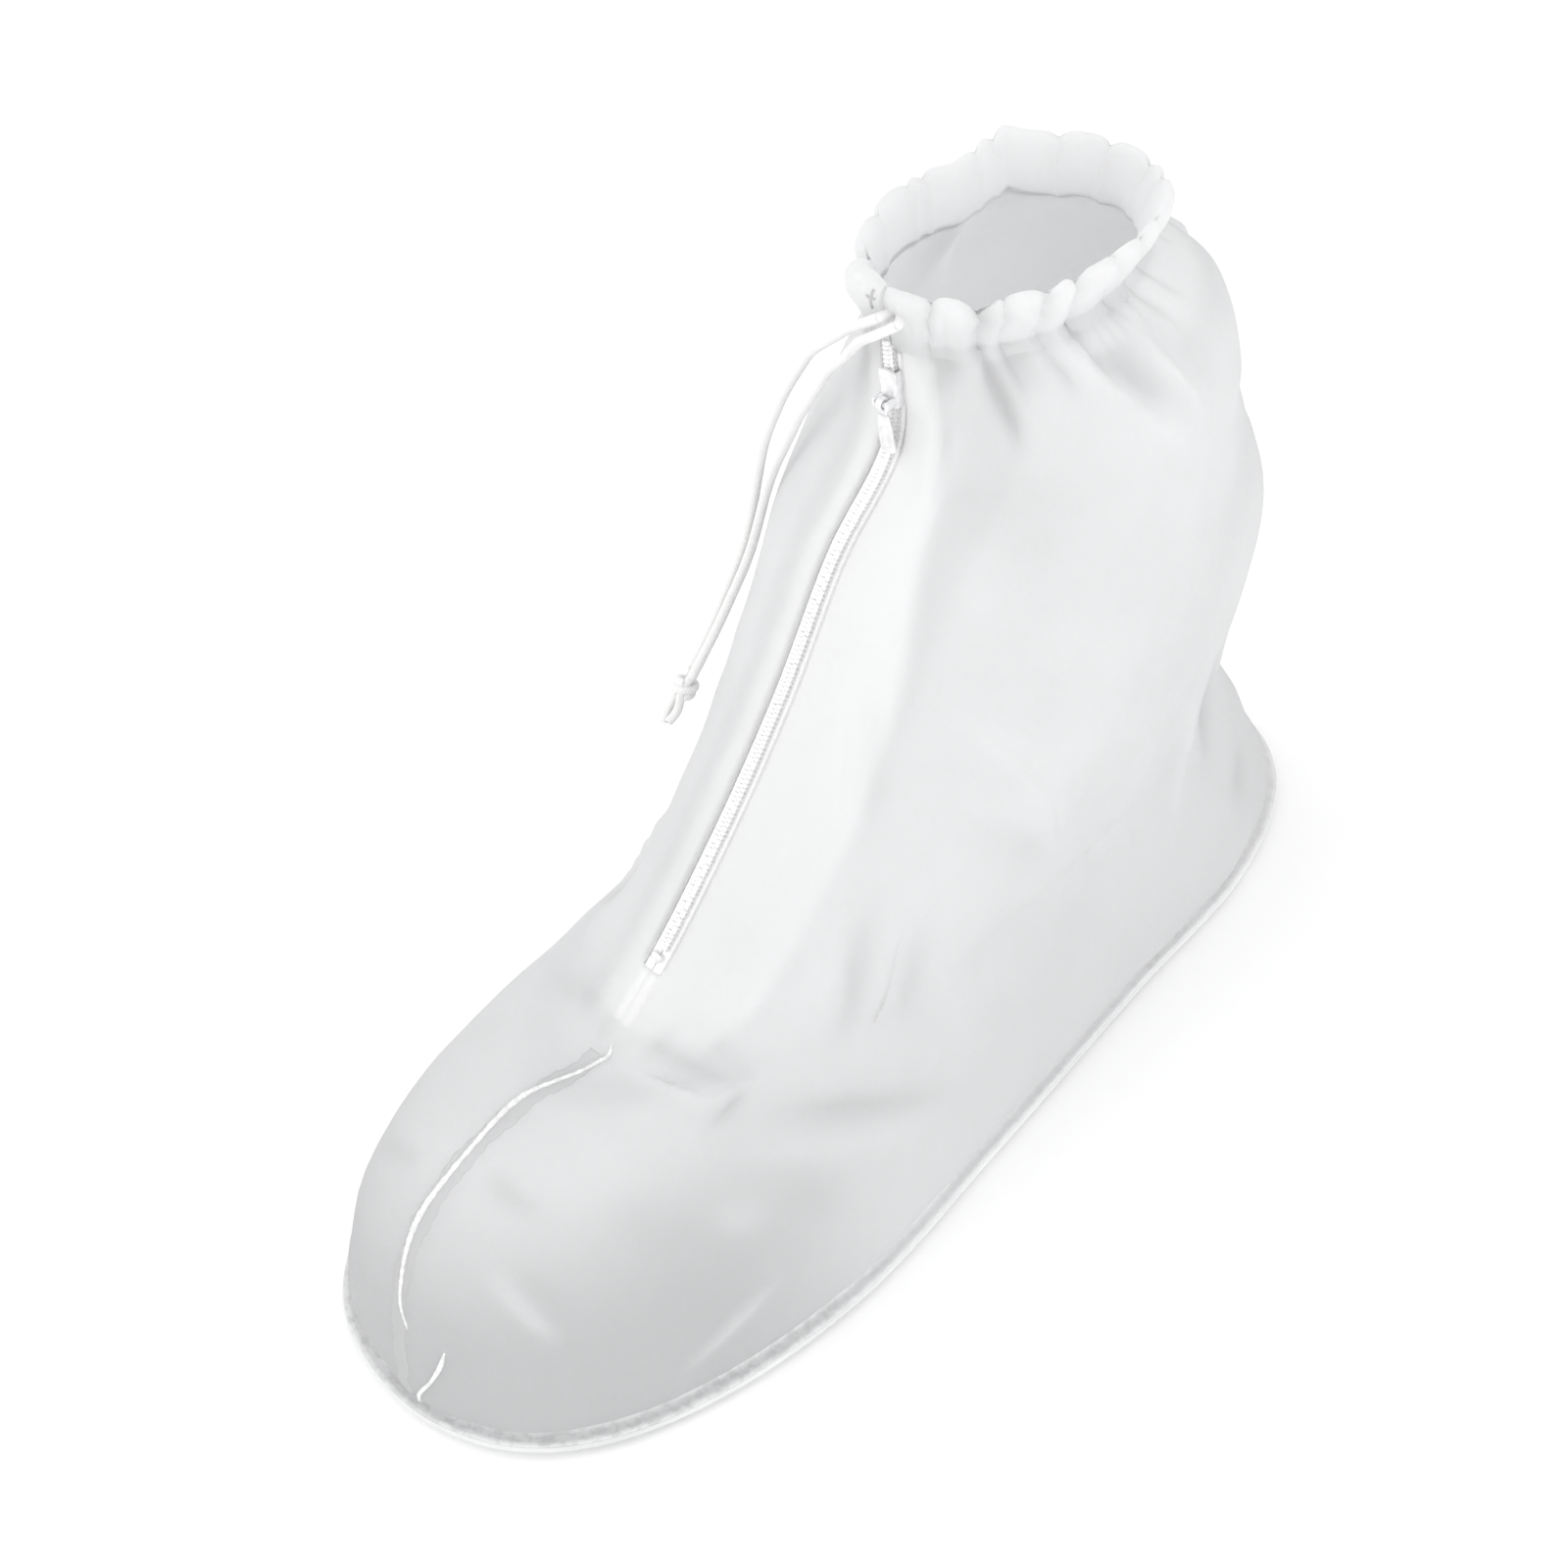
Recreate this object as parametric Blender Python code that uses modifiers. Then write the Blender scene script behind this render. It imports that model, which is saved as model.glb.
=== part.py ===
"""Waterproof shoe cover for the left foot: a frosted film boot on a flat moulded sole.

The film upper is welded to the sole all round, opens down the front with a zip and is drawn in
at the top by a cord in a gathered casing. Metres, +Z up, the toe points to -Y, +X is the outer side.
"""

import math
from collections import namedtuple

import bmesh
import bpy
import numpy as np
from mathutils import Matrix, Vector

# Driving dimensions
SOLE_LENGTH = 0.300
BALL_WIDTH = 0.110
TOE_IN = 0.008  # how far the toe leans to the inner side
TOE_IN_FROM = 0.030  # the lean starts here and grows towards the toe
MIDDLE_SHIFT = 0.0034  # brings the outline's middle to the origin
TOE_SPRING = 0.003
TOE_SPRING_FROM = -0.105
WALL = 0.0008  # film thickness
GAP = 0.0003  # clearance between neighbouring pieces
LUG_HEIGHT = 0.0018
PLATE_TOP = 0.0042
PLATE_EDGE = 0.0012  # bevel at the plate's lower edge
RIM_GROOVE = 0.0005  # depth of the line moulded round the rim
RIM_GROOVE_HALF = 0.0002
RIM_GROOVE_AT = 0.0015  # height over the plate's underside
RIM_TOP_EDGE = 0.0004  # bevel at the plate's upper edge

# Zip
SLIT_HALF = 0.0028
TAPE_HALF = 0.0105
TAPE_THICK = 0.0006
CHAIN_HALF = 0.0014
CHAIN_RISE = 0.0008  # the coil stands this far above the film
CHAIN_SLIT = 0.0006  # gap between the two tapes
GUSSET_THICK = 0.0005
GUSSET_INNER = -0.014  # the flap behind the zip reaches this far to the inner side
GUSSET_OUTER = 0.027
SLIDER_LENGTH = 0.0092
SLIDER_HALF = 0.0023
SLIDER_PLATE = 0.0010
PULL_LENGTH = 0.0098
PULL_HALF = 0.0019
PULL_THICK = 0.0010
PIN_RADIUS = 0.0006
EYE_RADIUS = 0.0016
EYE_HALF = 0.0009
PULL_NECK = 0.0025  # from the pin to the pull's plate
POST_HALF = 0.0005
POST_LENGTH_HALF = 0.0010
POST_OVER_PIN = 0.0009
PIN_FROM_END = 0.0022  # from the slider's lower end to the pin
PIN_PLAY = 0.0003
METAL_BEVEL = 0.0003
JOIN_LAP = 0.0003  # how far joined lumps of metal reach into each other
STOP_RISE = 0.0015  # the bottom stop stands this far above the film
PULL_CLEAR = 0.0004  # the resting pull stays this far above the coil

# Drawcord
CORD_DIAMETER = 0.0022
KNOT_RADIUS = 0.0030
KNOT_TAIL = 0.0075
KNOT_TAIL_LAP = 0.0012  # how far the ends start inside the knot
KNOT_TAIL_APART = 1.2  # in cord radii

# Seams
SEAM_HALF = 0.0022
SEAM_THICK = 0.0007
BACK_SEAM_HALF = 0.0018
BACK_SEAM_THICK = 0.0016

# Casing
PUFFS = 15
CASING_HEIGHT = 0.0140
CASING_DEPTH = 0.0056
LEAN_FRONT_DEG = 5.0  # the casing leans outwards, most at the back
LEAN_BACK_DEG = 15.0
PUFF_DEPTH = 0.0016
PUFF_HEIGHT = 0.0015
CASING_SPLIT = 0.0009  # half the gap between the casing's two ends, over the zip

# Mesh fineness
SIDE_COLUMNS = 26
RINGS_PER_ROW = 2
SOLE_COLUMNS = 30
CASING_STEPS = 80
CASING_SIDES = 10

# Outline of the sole: share of the ball's half width, by turn from the toe tip (0) to the heel (1)
OutlineRow = namedtuple("OutlineRow", "turn outer inner")
OUTLINE = (
    OutlineRow(0.000, 0.00, 0.00),
    OutlineRow(0.125, 0.53, 0.62),
    OutlineRow(0.250, 0.85, 0.96),
    OutlineRow(0.375, 0.97, 0.98),
    OutlineRow(0.500, 0.88, 0.81),
    OutlineRow(0.625, 0.79, 0.75),
    OutlineRow(0.750, 0.73, 0.75),
    OutlineRow(0.875, 0.48, 0.51),
    OutlineRow(1.000, 0.00, 0.00),
)

# Rings of the upper, from the welded rim to the drawn collar. Each ring runs from its front point
# over the toe, vamp or zip to its back point over the heel. side moves it outwards, sole_share is 1 for
# the sole's outline and 0 for an ellipse.
Ring = namedtuple("Ring", "name front_y front_z back_y back_z half_width side sole_share")
FILM_BASE = PLATE_TOP + GAP + WALL
RINGS = (
    Ring("rim", -0.1496, FILM_BASE, 0.1496, FILM_BASE, 0.0547, 0.0000, 1.00),
    Ring("weld", -0.1458, FILM_BASE, 0.1458, FILM_BASE, 0.0510, 0.0000, 1.00),
    Ring("wall_low", -0.1470, 0.0170, 0.1442, 0.0120, 0.0503, 0.0004, 1.00),
    Ring("wall_mid", -0.1470, 0.0400, 0.1402, 0.0240, 0.0472, 0.0010, 0.92),
    Ring("toe_bend", -0.1412, 0.0640, 0.1358, 0.0350, 0.0428, 0.0014, 0.78),
    Ring("toe_top", -0.1265, 0.0815, 0.1312, 0.0450, 0.0388, 0.0016, 0.58),
    Ring("vamp", -0.1060, 0.0880, 0.1280, 0.0550, 0.0375, 0.0014, 0.38),
    Ring("crease", -0.0860, 0.0905, 0.1265, 0.0660, 0.0380, 0.0016, 0.22),
    Ring("zip_foot", -0.0680, 0.1010, 0.1290, 0.0880, 0.0388, 0.0020, 0.10),
    Ring("instep", -0.0460, 0.1290, 0.1325, 0.1180, 0.0402, 0.0026, 0.00),
    Ring("shaft_low", -0.0250, 0.1570, 0.1245, 0.1490, 0.0415, 0.0016, 0.00),
    Ring("shaft_mid", -0.0065, 0.1850, 0.1115, 0.1790, 0.0402, 0.0000, 0.00),
    Ring("shaft_high", 0.0065, 0.2130, 0.1020, 0.2075, 0.0355, 0.0042, 0.00),
    Ring("collar", 0.0100, 0.2385, 0.0835, 0.2255, 0.0205, 0.0006, 0.00),
)
TROUGH_DEPTH = 0.0060  # the film dips across the instep, just below the zip
TROUGH_TURN = 0.17
TROUGH_LEVELS = 0.65
RING_NUMBER = {ring.name: number for number, ring in enumerate(RINGS)}
TOP = len(RINGS) - 1
WELD = RING_NUMBER["weld"]
ZIP_FOOT = RING_NUMBER["zip_foot"]
ZIP_STOP = ZIP_FOOT + 0.12
SLIDER_AT = TOP - 0.48
TAPE_FROM = ZIP_FOOT - 0.55
TAPE_TO = TOP - 0.06
GUSSET_FROM = ZIP_FOOT - 0.75
GUSSET_TO = TOP - 0.10

# Route of the two cord tails, by hand, over the film: out of the casing's split, across the front of the
# shaft and down its inner side. lift is the height over the film, which the outer tail stands away from,
# and rise goes straight up from there.
TailRow = namedtuple("TailRow", "outer_turn outer_lift inner_turn inner_lift level rise")
TAIL_ROUTE = (
    TailRow(0.016, 0.0050, 0.062, 0.0056, 12.98, 0.0086),
    TailRow(-0.034, 0.0052, 0.012, 0.0056, 12.92, 0.0060),
    TailRow(-0.100, 0.0054, -0.056, 0.0048, 12.80, 0.0026),
    TailRow(-0.160, 0.0070, -0.116, 0.0046, 12.55, 0.0002),
    TailRow(-0.190, 0.0090, -0.150, 0.0062, 12.25, 0.0000),
    TailRow(-0.205, 0.0095, -0.165, 0.0066, 11.95, 0.0000),
    TailRow(-0.220, 0.0090, -0.185, 0.0056, 11.60, 0.0000),
    TailRow(-0.236, 0.0073, -0.212, 0.0034, 11.20, 0.0000),
    TailRow(-0.258, 0.0052, -0.240, 0.0026, 10.70, 0.0000),
    TailRow(-0.265, 0.0043, -0.248, 0.0024, 10.20, 0.0000),
    TailRow(-0.263, 0.0054, -0.248, 0.0040, 9.70, 0.0000),
    TailRow(-0.260, 0.0066, -0.245, 0.0055, 9.38, 0.0000),
    TailRow(-0.258, 0.0074, -0.243, 0.0064, 9.19, 0.0000),
)
TAIL_STEPS = 24

FILM = ("film", (0.86, 0.87, 0.88), 0.42, 0.0)
SOLE_STUFF = ("sole_plastic", (0.78, 0.79, 0.80), 0.45, 0.0)
TAPE_STUFF = ("zip_tape", (0.95, 0.95, 0.95), 0.80, 0.0)
CORD_STUFF = ("cord", (0.95, 0.95, 0.94), 0.75, 0.0)
METAL = ("zip_metal", (0.80, 0.80, 0.80), 0.30, 0.9)


# Shape functions

def smooth_rows(rows, place):
    """Values of a table's numeric columns at fractional row numbers, on a Catmull-Rom curve."""
    table = np.array(rows, float)
    before = 2 * table[0] - table[1]
    after = 2 * table[-1] - table[-2]
    padded = np.vstack([before, table, after])
    place = np.clip(np.asarray(place, float), 0, len(table) - 1)
    start = np.minimum(place.astype(int), len(table) - 2)
    t = (place - start)[..., None]
    a, b, c, d = (padded[start + k] for k in range(4))
    return b + 0.5 * t * (c - a + t * (2 * a - 5 * b + 4 * c - d + t * (3 * (b - c) + d - a)))


def toe_in(y):
    """Sideways lean of the foot's centre line."""
    share = np.clip((TOE_IN_FROM - y) / (TOE_IN_FROM + SOLE_LENGTH / 2), 0, None)
    return MIDDLE_SHIFT - TOE_IN * share**2


def toe_spring(y):
    """Height by which the toe curls up from the floor."""
    share = np.clip((TOE_SPRING_FROM - y) / (SOLE_LENGTH / 2 + TOE_SPRING_FROM), 0, None)
    return TOE_SPRING * share**2


def outline_share(turn):
    """Half width of the sole's outline as a share of the ball's, for a signed turn."""
    turn = np.asarray(turn, float)
    row = np.abs(turn) * (len(OUTLINE) - 1)
    shares = smooth_rows([(line.outer, line.inner) for line in OUTLINE], row)
    return np.where(turn >= 0, shares[..., 0], shares[..., 1])


def upper_point(turn, level):
    """Outer surface of the film. turn is 0 at the front, +1 or -1 at the back; level counts rings."""
    turn, level = np.broadcast_arrays(np.asarray(turn, float), np.asarray(level, float))
    values = smooth_rows([ring[1:] for ring in RINGS], level)
    front_y, front_z, back_y, back_z, half_width, side, sole_share = np.moveaxis(values, -1, 0)
    along = (1 + np.cos(np.pi * turn)) / 2
    y = back_y + (front_y - back_y) * along
    z = back_z + (front_z - back_z) * along
    ellipse = np.sin(np.pi * np.abs(turn))
    sole_share = np.clip(sole_share, 0, 1)
    share = sole_share * outline_share(turn) + (1 - sole_share) * ellipse
    below_zip = (level - RING_NUMBER["crease"]) / TROUGH_LEVELS
    z = z - TROUGH_DEPTH * np.exp(-((turn / TROUGH_TURN) ** 2) - below_zip**2)
    x = np.where(turn >= 0, 1, -1) * half_width * share
    return np.stack([x + side + toe_in(y), y, z + toe_spring(y)], axis=-1)


def upper_normal(turn, level, step=0.004):
    """Outward unit normal of the film."""
    across = upper_point(turn + step, level) - upper_point(turn - step, level)
    low, high = np.maximum(level - step, 0), np.minimum(level + step, TOP)
    upwards = upper_point(turn, high) - upper_point(turn, low)
    normal = np.cross(across, upwards)
    return normal / np.linalg.norm(normal, axis=-1, keepdims=True)


def turn_at(side, level):
    """The turn that lies this far sideways from the front line, found by halving."""
    level = np.asarray(level, float)
    low, high = np.zeros_like(level), np.full_like(level, 0.3)
    sign = -1.0 if side < 0 else 1.0
    for _ in range(30):
        middle = (low + high) / 2
        reach = upper_point(sign * middle, level) - upper_point(0.0, level)
        short = np.hypot(reach[..., 0], reach[..., 1]) < abs(side)
        low, high = np.where(short, middle, low), np.where(short, high, middle)
    return sign * low


def zip_frame(level, offset=0.0):
    """Matrix at the zip's line: X across the zip, Y up along it, Z out of the film."""
    step = 0.02
    normal = Vector(upper_normal(0.0, level))
    upwards = Vector(upper_point(0.0, level + step)) - Vector(upper_point(0.0, level - step))
    upwards = (upwards - upwards.dot(normal) * normal).normalized()
    across = upwards.cross(normal)
    place = Vector(upper_point(0.0, level)) + offset * normal
    frame = Matrix((across, upwards, normal)).transposed().to_4x4()
    frame.translation = place
    return frame


# Blender helpers

def clear_scene():
    for old in list(bpy.data.objects):
        bpy.data.objects.remove(old, do_unlink=True)


def new_collection(name):
    collection = bpy.data.collections.new(name)
    bpy.context.scene.collection.children.link(collection)
    return collection


def material(stuff):
    name, colour, roughness, metallic = stuff
    found = bpy.data.materials.get(name)
    if found:
        return found
    made = bpy.data.materials.new(name)
    made.use_nodes = True
    shader = made.node_tree.nodes["Principled BSDF"]
    shader.inputs["Base Color"].default_value = (*colour, 1.0)
    shader.inputs["Roughness"].default_value = roughness
    shader.inputs["Metallic"].default_value = metallic
    return made


def add_object(name, data, stuff, collection, smooth_deg=40):
    if isinstance(data, bpy.types.Mesh):
        data.shade_smooth()
        data.set_sharp_from_angle(angle=math.radians(smooth_deg))
    made = bpy.data.objects.new(name, data)
    made.data.materials.append(material(stuff))
    collection.objects.link(made)
    return made


def finish_mesh(name, shape):
    """Mesh from a bmesh, with its faces turned outwards."""
    bmesh.ops.recalc_face_normals(shape, faces=shape.faces)
    mesh = bpy.data.meshes.new(name)
    shape.to_mesh(mesh)
    shape.free()
    return mesh


def loft(name, grid, closed=False, capped=False):
    """Mesh over rows of points. closed joins each row's ends, capped fills the first and last row."""
    rows, columns = grid.shape[:2]
    shape = bmesh.new()
    points = [[shape.verts.new(point) for point in row] for row in grid]
    last = columns if closed else columns - 1
    for row in range(rows - 1):
        for column in range(last):
            after = (column + 1) % columns
            shape.faces.new(
                (points[row][column], points[row][after], points[row + 1][after], points[row + 1][column])
            )
    if capped:
        shape.faces.new(points[0])
        shape.faces.new(points[-1])
    return finish_mesh(name, shape)


def strip(name, sides, levels, low, high):
    """Closed mesh of a band that follows the film, between two heights above its outer surface.

    sides gives, for an array of levels, the turns of the band's columns.
    """
    turns = np.stack([sides(levels, column) for column in range(sides.columns)], axis=1)
    grid_levels = np.broadcast_to(levels[:, None], turns.shape)
    surface = upper_point(turns, grid_levels)
    normal = upper_normal(turns, grid_levels)
    top = surface + high * normal
    bottom = surface + low * normal
    rings = np.concatenate([top, bottom[:, ::-1]], axis=1)
    return loft(name, rings, closed=True, capped=True)


class Band:
    """Turns of evenly spaced columns between two sideways distances from the front line."""

    def __init__(self, low, high, columns):
        self.low, self.high, self.columns = low, high, columns

    def __call__(self, levels, column):
        side = self.low + (self.high - self.low) * column / (self.columns - 1)
        return turn_at(side, levels)


class BackBand(Band):
    """The same, measured from the back line."""

    def __call__(self, levels, column):
        side = self.low + (self.high - self.low) * column / (self.columns - 1)
        beside = turn_at(side, levels)
        return np.where(beside >= 0, 1 - beside, -1 - beside) if side else np.ones_like(levels)


def union(target, others):
    """Joins helper objects into the target with Boolean modifiers."""
    for other in others:
        other.hide_render = True
        other.display_type = "WIRE"
        joined = target.modifiers.new("join_" + other.name, "BOOLEAN")
        joined.operation = "UNION"
        joined.object = other


def box_mesh(name, low, high, bevel=0.0):
    """Mesh of a box between two corners, with rounded edges if a bevel is given."""
    shape = bmesh.new()
    bmesh.ops.create_cube(shape, size=1.0)
    size = Vector(high) - Vector(low)
    bmesh.ops.scale(shape, vec=size, verts=shape.verts)
    bmesh.ops.translate(shape, vec=(Vector(high) + Vector(low)) / 2, verts=shape.verts)
    if bevel:
        bmesh.ops.bevel(shape, geom=shape.edges[:], offset=bevel, segments=1, affect="EDGES")
    return finish_mesh(name, shape)


def rod_mesh(name, radius, half_length, sides=14):
    """Mesh of a rod along X."""
    shape = bmesh.new()
    turn = Matrix.Rotation(math.pi / 2, 4, "Y")
    bmesh.ops.create_cone(
        shape, cap_ends=True, segments=sides, radius1=radius, radius2=radius, depth=2 * half_length, matrix=turn
    )
    return finish_mesh(name, shape)


# The pieces

def sole_ring(inset, height):
    """Closed ring of the sole's outline, drawn in by inset and set at a height."""
    turns = np.linspace(0, 1, SOLE_COLUMNS + 1)
    turns = np.concatenate([turns, -turns[-2:0:-1]])
    y = (SOLE_LENGTH / 2 - inset) * -np.cos(np.pi * turns)
    half = BALL_WIDTH / 2 - inset
    x = np.sign(turns) * half * outline_share(turns)
    return np.stack([x + toe_in(y), y, height + toe_spring(y)], axis=-1)


def make_outsole(parts, cutters):
    """Moulded plate with a stepped rim, and tread bars under the forefoot and the heel."""
    groove_at = LUG_HEIGHT + RIM_GROOVE_AT
    profile = (
        (PLATE_EDGE, LUG_HEIGHT),
        (0.0, LUG_HEIGHT + PLATE_EDGE * 0.6),
        (0.0, groove_at - RIM_GROOVE_HALF),
        (RIM_GROOVE, groove_at),
        (0.0, groove_at + RIM_GROOVE_HALF),
        (0.0, PLATE_TOP - RIM_TOP_EDGE * 0.75),
        (RIM_TOP_EDGE, PLATE_TOP),
    )
    grid = np.array([sole_ring(inset, height) for inset, height in profile])
    shape = bmesh.new()
    rings = [[shape.verts.new(point) for point in ring] for ring in grid]
    count = len(rings[0])
    for lower, higher in zip(rings, rings[1:]):
        for k in range(count):
            after = (k + 1) % count
            shape.faces.new((lower[k], lower[after], higher[after], higher[k]))
    for ring in (rings[0], rings[-1]):
        for k in range(SOLE_COLUMNS):
            face = [ring[k], ring[k + 1], ring[-(k + 1) % count], ring[-k % count]]
            shape.faces.new(list(dict.fromkeys(face)))
    sole = add_object("outsole", finish_mesh("outsole", shape), SOLE_STUFF, parts)
    union(sole, [tread_bar(k, y, cutters) for k, y in enumerate(bar_places())])
    return sole


BAR_WIDTH = 0.0075
BAR_PITCH = 0.0140
BAR_MARGIN = 0.0075
FOREFOOT = (-0.124, -0.026)
HEEL = (0.062, 0.132)


def bar_places():
    """Middle of each tread bar, along the foot."""
    places = []
    for low, high in (FOREFOOT, HEEL):
        count = round((high - low) / BAR_PITCH)
        places += list(np.linspace(low, high, count + 1))
    return places


def tread_bar(number, y, cutters):
    """A bar across the sole that follows its outline at both ends."""
    lap = 0.0006  # reaches this far into the plate
    edge = np.array([y - BAR_WIDTH / 2, y, y + BAR_WIDTH / 2])
    turns = np.arccos(np.clip(-edge / (SOLE_LENGTH / 2), -1, 1)) / np.pi
    half = BALL_WIDTH / 2
    outer = half * outline_share(turns) - BAR_MARGIN + toe_in(edge)
    inner = -half * outline_share(-turns) + BAR_MARGIN + toe_in(edge)
    spring = toe_spring(edge)
    low = np.stack([outer, edge, 0 * edge + spring], axis=-1)
    low = np.concatenate([low, np.stack([inner, edge, 0 * edge + spring], axis=-1)[::-1]])
    high = low + [0, 0, LUG_HEIGHT + lap]
    bar = add_object(
        f"tread_bar_{number}", loft("tread_bar", np.array([low, high]), closed=True, capped=True), SOLE_STUFF, cutters
    )
    return bar


def upper_grid():
    """Levels and turns of the film's mesh, with a column at each side of the zip's slit."""
    levels = np.concatenate([np.arange(WELD), np.linspace(WELD, TOP, (TOP - WELD) * RINGS_PER_ROW + 1)])
    slit = turn_at(SLIT_HALF, levels)[:, None]
    share = np.linspace(0, 1, SIDE_COLUMNS + 1)[None]
    left = slit + (1 - slit) * share
    turns = np.concatenate([left, -left[:, -2::-1]], axis=1)
    return np.broadcast_to(levels[:, None], turns.shape), turns


def make_upper(parts):
    """One wall of film, open at the sole and the collar, and slit down the front for the zip."""
    levels, turns = upper_grid()
    points = upper_point(turns, levels)
    shape = bmesh.new()
    grid = [[shape.verts.new(point) for point in row] for row in points]
    rows, columns = turns.shape
    for row in range(rows - 1):
        last = columns if levels[row, 0] < ZIP_FOOT else columns - 1
        for k in range(last):
            after = (k + 1) % columns
            shape.faces.new((grid[row][k], grid[row][after], grid[row + 1][after], grid[row + 1][k]))
    mesh = bpy.data.meshes.new("upper")
    shape.to_mesh(mesh)
    shape.free()
    upper = add_object("upper", mesh, FILM, parts)
    wall = upper.modifiers.new("wall", "SOLIDIFY")
    wall.thickness = WALL
    wall.offset = -1.0
    return upper


def make_seams(parts):
    """The welded seams over the toe and up the back, raised on the film."""
    toe = np.arange(WELD + 0.5, ZIP_FOOT - 0.9, 1 / RINGS_PER_ROW)
    mesh = strip("toe_seam", Band(-SEAM_HALF, SEAM_HALF, 3), toe, GAP, GAP + SEAM_THICK)
    add_object("toe_seam", mesh, FILM, parts)
    back = np.arange(WELD + 0.5, TOP - 0.4, 1 / RINGS_PER_ROW)
    mesh = strip("heel_seam", BackBand(-BACK_SEAM_HALF, BACK_SEAM_HALF, 3), back, GAP, GAP + BACK_SEAM_THICK)
    add_object("heel_seam", mesh, FILM, parts)


def make_casing(parts):
    """Gathered casing for the drawcord: a puffed tube on the film's top edge, split over the zip."""
    split = float(turn_at(CASING_SPLIT, TOP))
    turns = np.linspace(split, 2 - split, CASING_STEPS + 1)
    signed = np.where(turns <= 1, turns, turns - 2)
    base = upper_point(signed, TOP)
    out = upper_normal(signed, TOP - 0.05)
    out[:, 2] = 0
    out /= np.linalg.norm(out, axis=1, keepdims=True)
    puff = np.abs(np.sin(PUFFS * np.pi * turns / 2))
    back = (1 - np.cos(np.pi * turns)) / 2
    lean = np.radians(LEAN_FRONT_DEG + (LEAN_BACK_DEG - LEAN_FRONT_DEG) * back)[:, None]
    up = np.array([0, 0, 1.0])
    rise = np.cos(lean) * up + np.sin(lean) * out
    side = np.cos(lean) * out - np.sin(lean) * up
    angle = np.linspace(-0.5 * np.pi, 1.5 * np.pi, CASING_SIDES, endpoint=False)[None]
    depth = ((CASING_DEPTH - PUFF_DEPTH) / 2 + PUFF_DEPTH * puff)[:, None]
    height = ((CASING_HEIGHT - PUFF_HEIGHT) / 2 + PUFF_HEIGHT / 2 * puff)[:, None]
    outwards = -WALL / 2 + depth * np.cos(angle)
    upwards = GAP + height * (1 + np.sin(angle))
    points = base[:, None] + outwards[..., None] * side[:, None] + upwards[..., None] * rise[:, None]
    add_object("drawstring_casing", loft("drawstring_casing", points, closed=True, capped=True), FILM, parts)


def make_zip(parts):
    """Tapes behind the slit, the coil between them, the bottom stop and the flap behind it all."""
    tape_top = -(WALL + GAP)
    levels = np.linspace(TAPE_FROM, TAPE_TO, 20)
    for name, low, high in (
        ("zip_tape_left", CHAIN_SLIT / 2, TAPE_HALF),
        ("zip_tape_right", -TAPE_HALF, -CHAIN_SLIT / 2),
    ):
        mesh = strip(name, Band(low, high, 4), levels, tape_top - TAPE_THICK, tape_top)
        add_object(name, mesh, TAPE_STUFF, parts)
    coil = np.linspace(ZIP_STOP + 0.06, TAPE_TO, 22)
    mesh = strip("zip_chain", Band(-CHAIN_HALF, CHAIN_HALF, 3), coil, tape_top + GAP, CHAIN_RISE)
    add_object("zip_chain", mesh, TAPE_STUFF, parts)
    stop = np.array([ZIP_STOP - 0.05, ZIP_STOP + 0.04])
    mesh = strip("zip_bottom_stop", Band(-CHAIN_HALF, CHAIN_HALF, 3), stop, tape_top + GAP, STOP_RISE)
    add_object("zip_bottom_stop", mesh, METAL, parts)
    flap_top = tape_top - TAPE_THICK - 2 * GAP
    levels = np.linspace(GUSSET_FROM, GUSSET_TO, 20)
    mesh = strip("zip_gusset", Band(GUSSET_INNER, GUSSET_OUTER, 9), levels, flap_top - GUSSET_THICK, flap_top)
    add_object("zip_gusset", mesh, FILM, parts)


def make_slider(parts, cutters):
    """Zip slider over the coil, with a pin between two posts for the pull."""
    base = CHAIN_RISE + GAP
    frame = zip_frame(SLIDER_AT)
    half = SLIDER_LENGTH / 2
    plate = box_mesh("zip_slider", (-SLIDER_HALF, -half, base), (SLIDER_HALF, half, base + SLIDER_PLATE), METAL_BEVEL)
    slider = add_object("zip_slider", plate, METAL, parts)
    slider.matrix_world = frame
    helpers = []
    inner = CHAIN_HALF + GAP
    low = -(WALL + GAP) + GAP
    for number, sign in enumerate((-1, 1)):
        near, far = sorted((sign * inner, sign * SLIDER_HALF * 0.96))
        mesh = box_mesh("flange", (near, METAL_BEVEL - half, low), (far, half - METAL_BEVEL, base + JOIN_LAP))
        helpers.append(add_object(f"slider_flange_{number}", mesh, METAL, cutters))
        near, far = sorted((sign * (EYE_HALF + GAP), sign * (EYE_HALF + GAP + 2 * POST_HALF)))
        foot, top = pin_place()[1], pin_place()[2] + POST_OVER_PIN
        low_end = (near, foot - POST_LENGTH_HALF, base + SLIDER_PLATE - JOIN_LAP)
        mesh = box_mesh("post", low_end, (far, foot + POST_LENGTH_HALF, top))
        helpers.append(add_object(f"slider_post_{number}", mesh, METAL, cutters))
    pin = add_object("slider_pin", rod_mesh("slider_pin", PIN_RADIUS, EYE_HALF + GAP + POST_HALF), METAL, cutters)
    helpers.append(pin)
    for helper in helpers:
        helper.matrix_world = frame
    pin.matrix_world = frame @ Matrix.Translation(pin_place())
    union(slider, helpers)
    return slider


def pin_place():
    """The pull's pin, in the slider's frame."""
    height = CHAIN_RISE + GAP + SLIDER_PLATE + EYE_RADIUS + GAP
    return Vector((0.0, PIN_FROM_END - SLIDER_LENGTH / 2, height))


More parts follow.
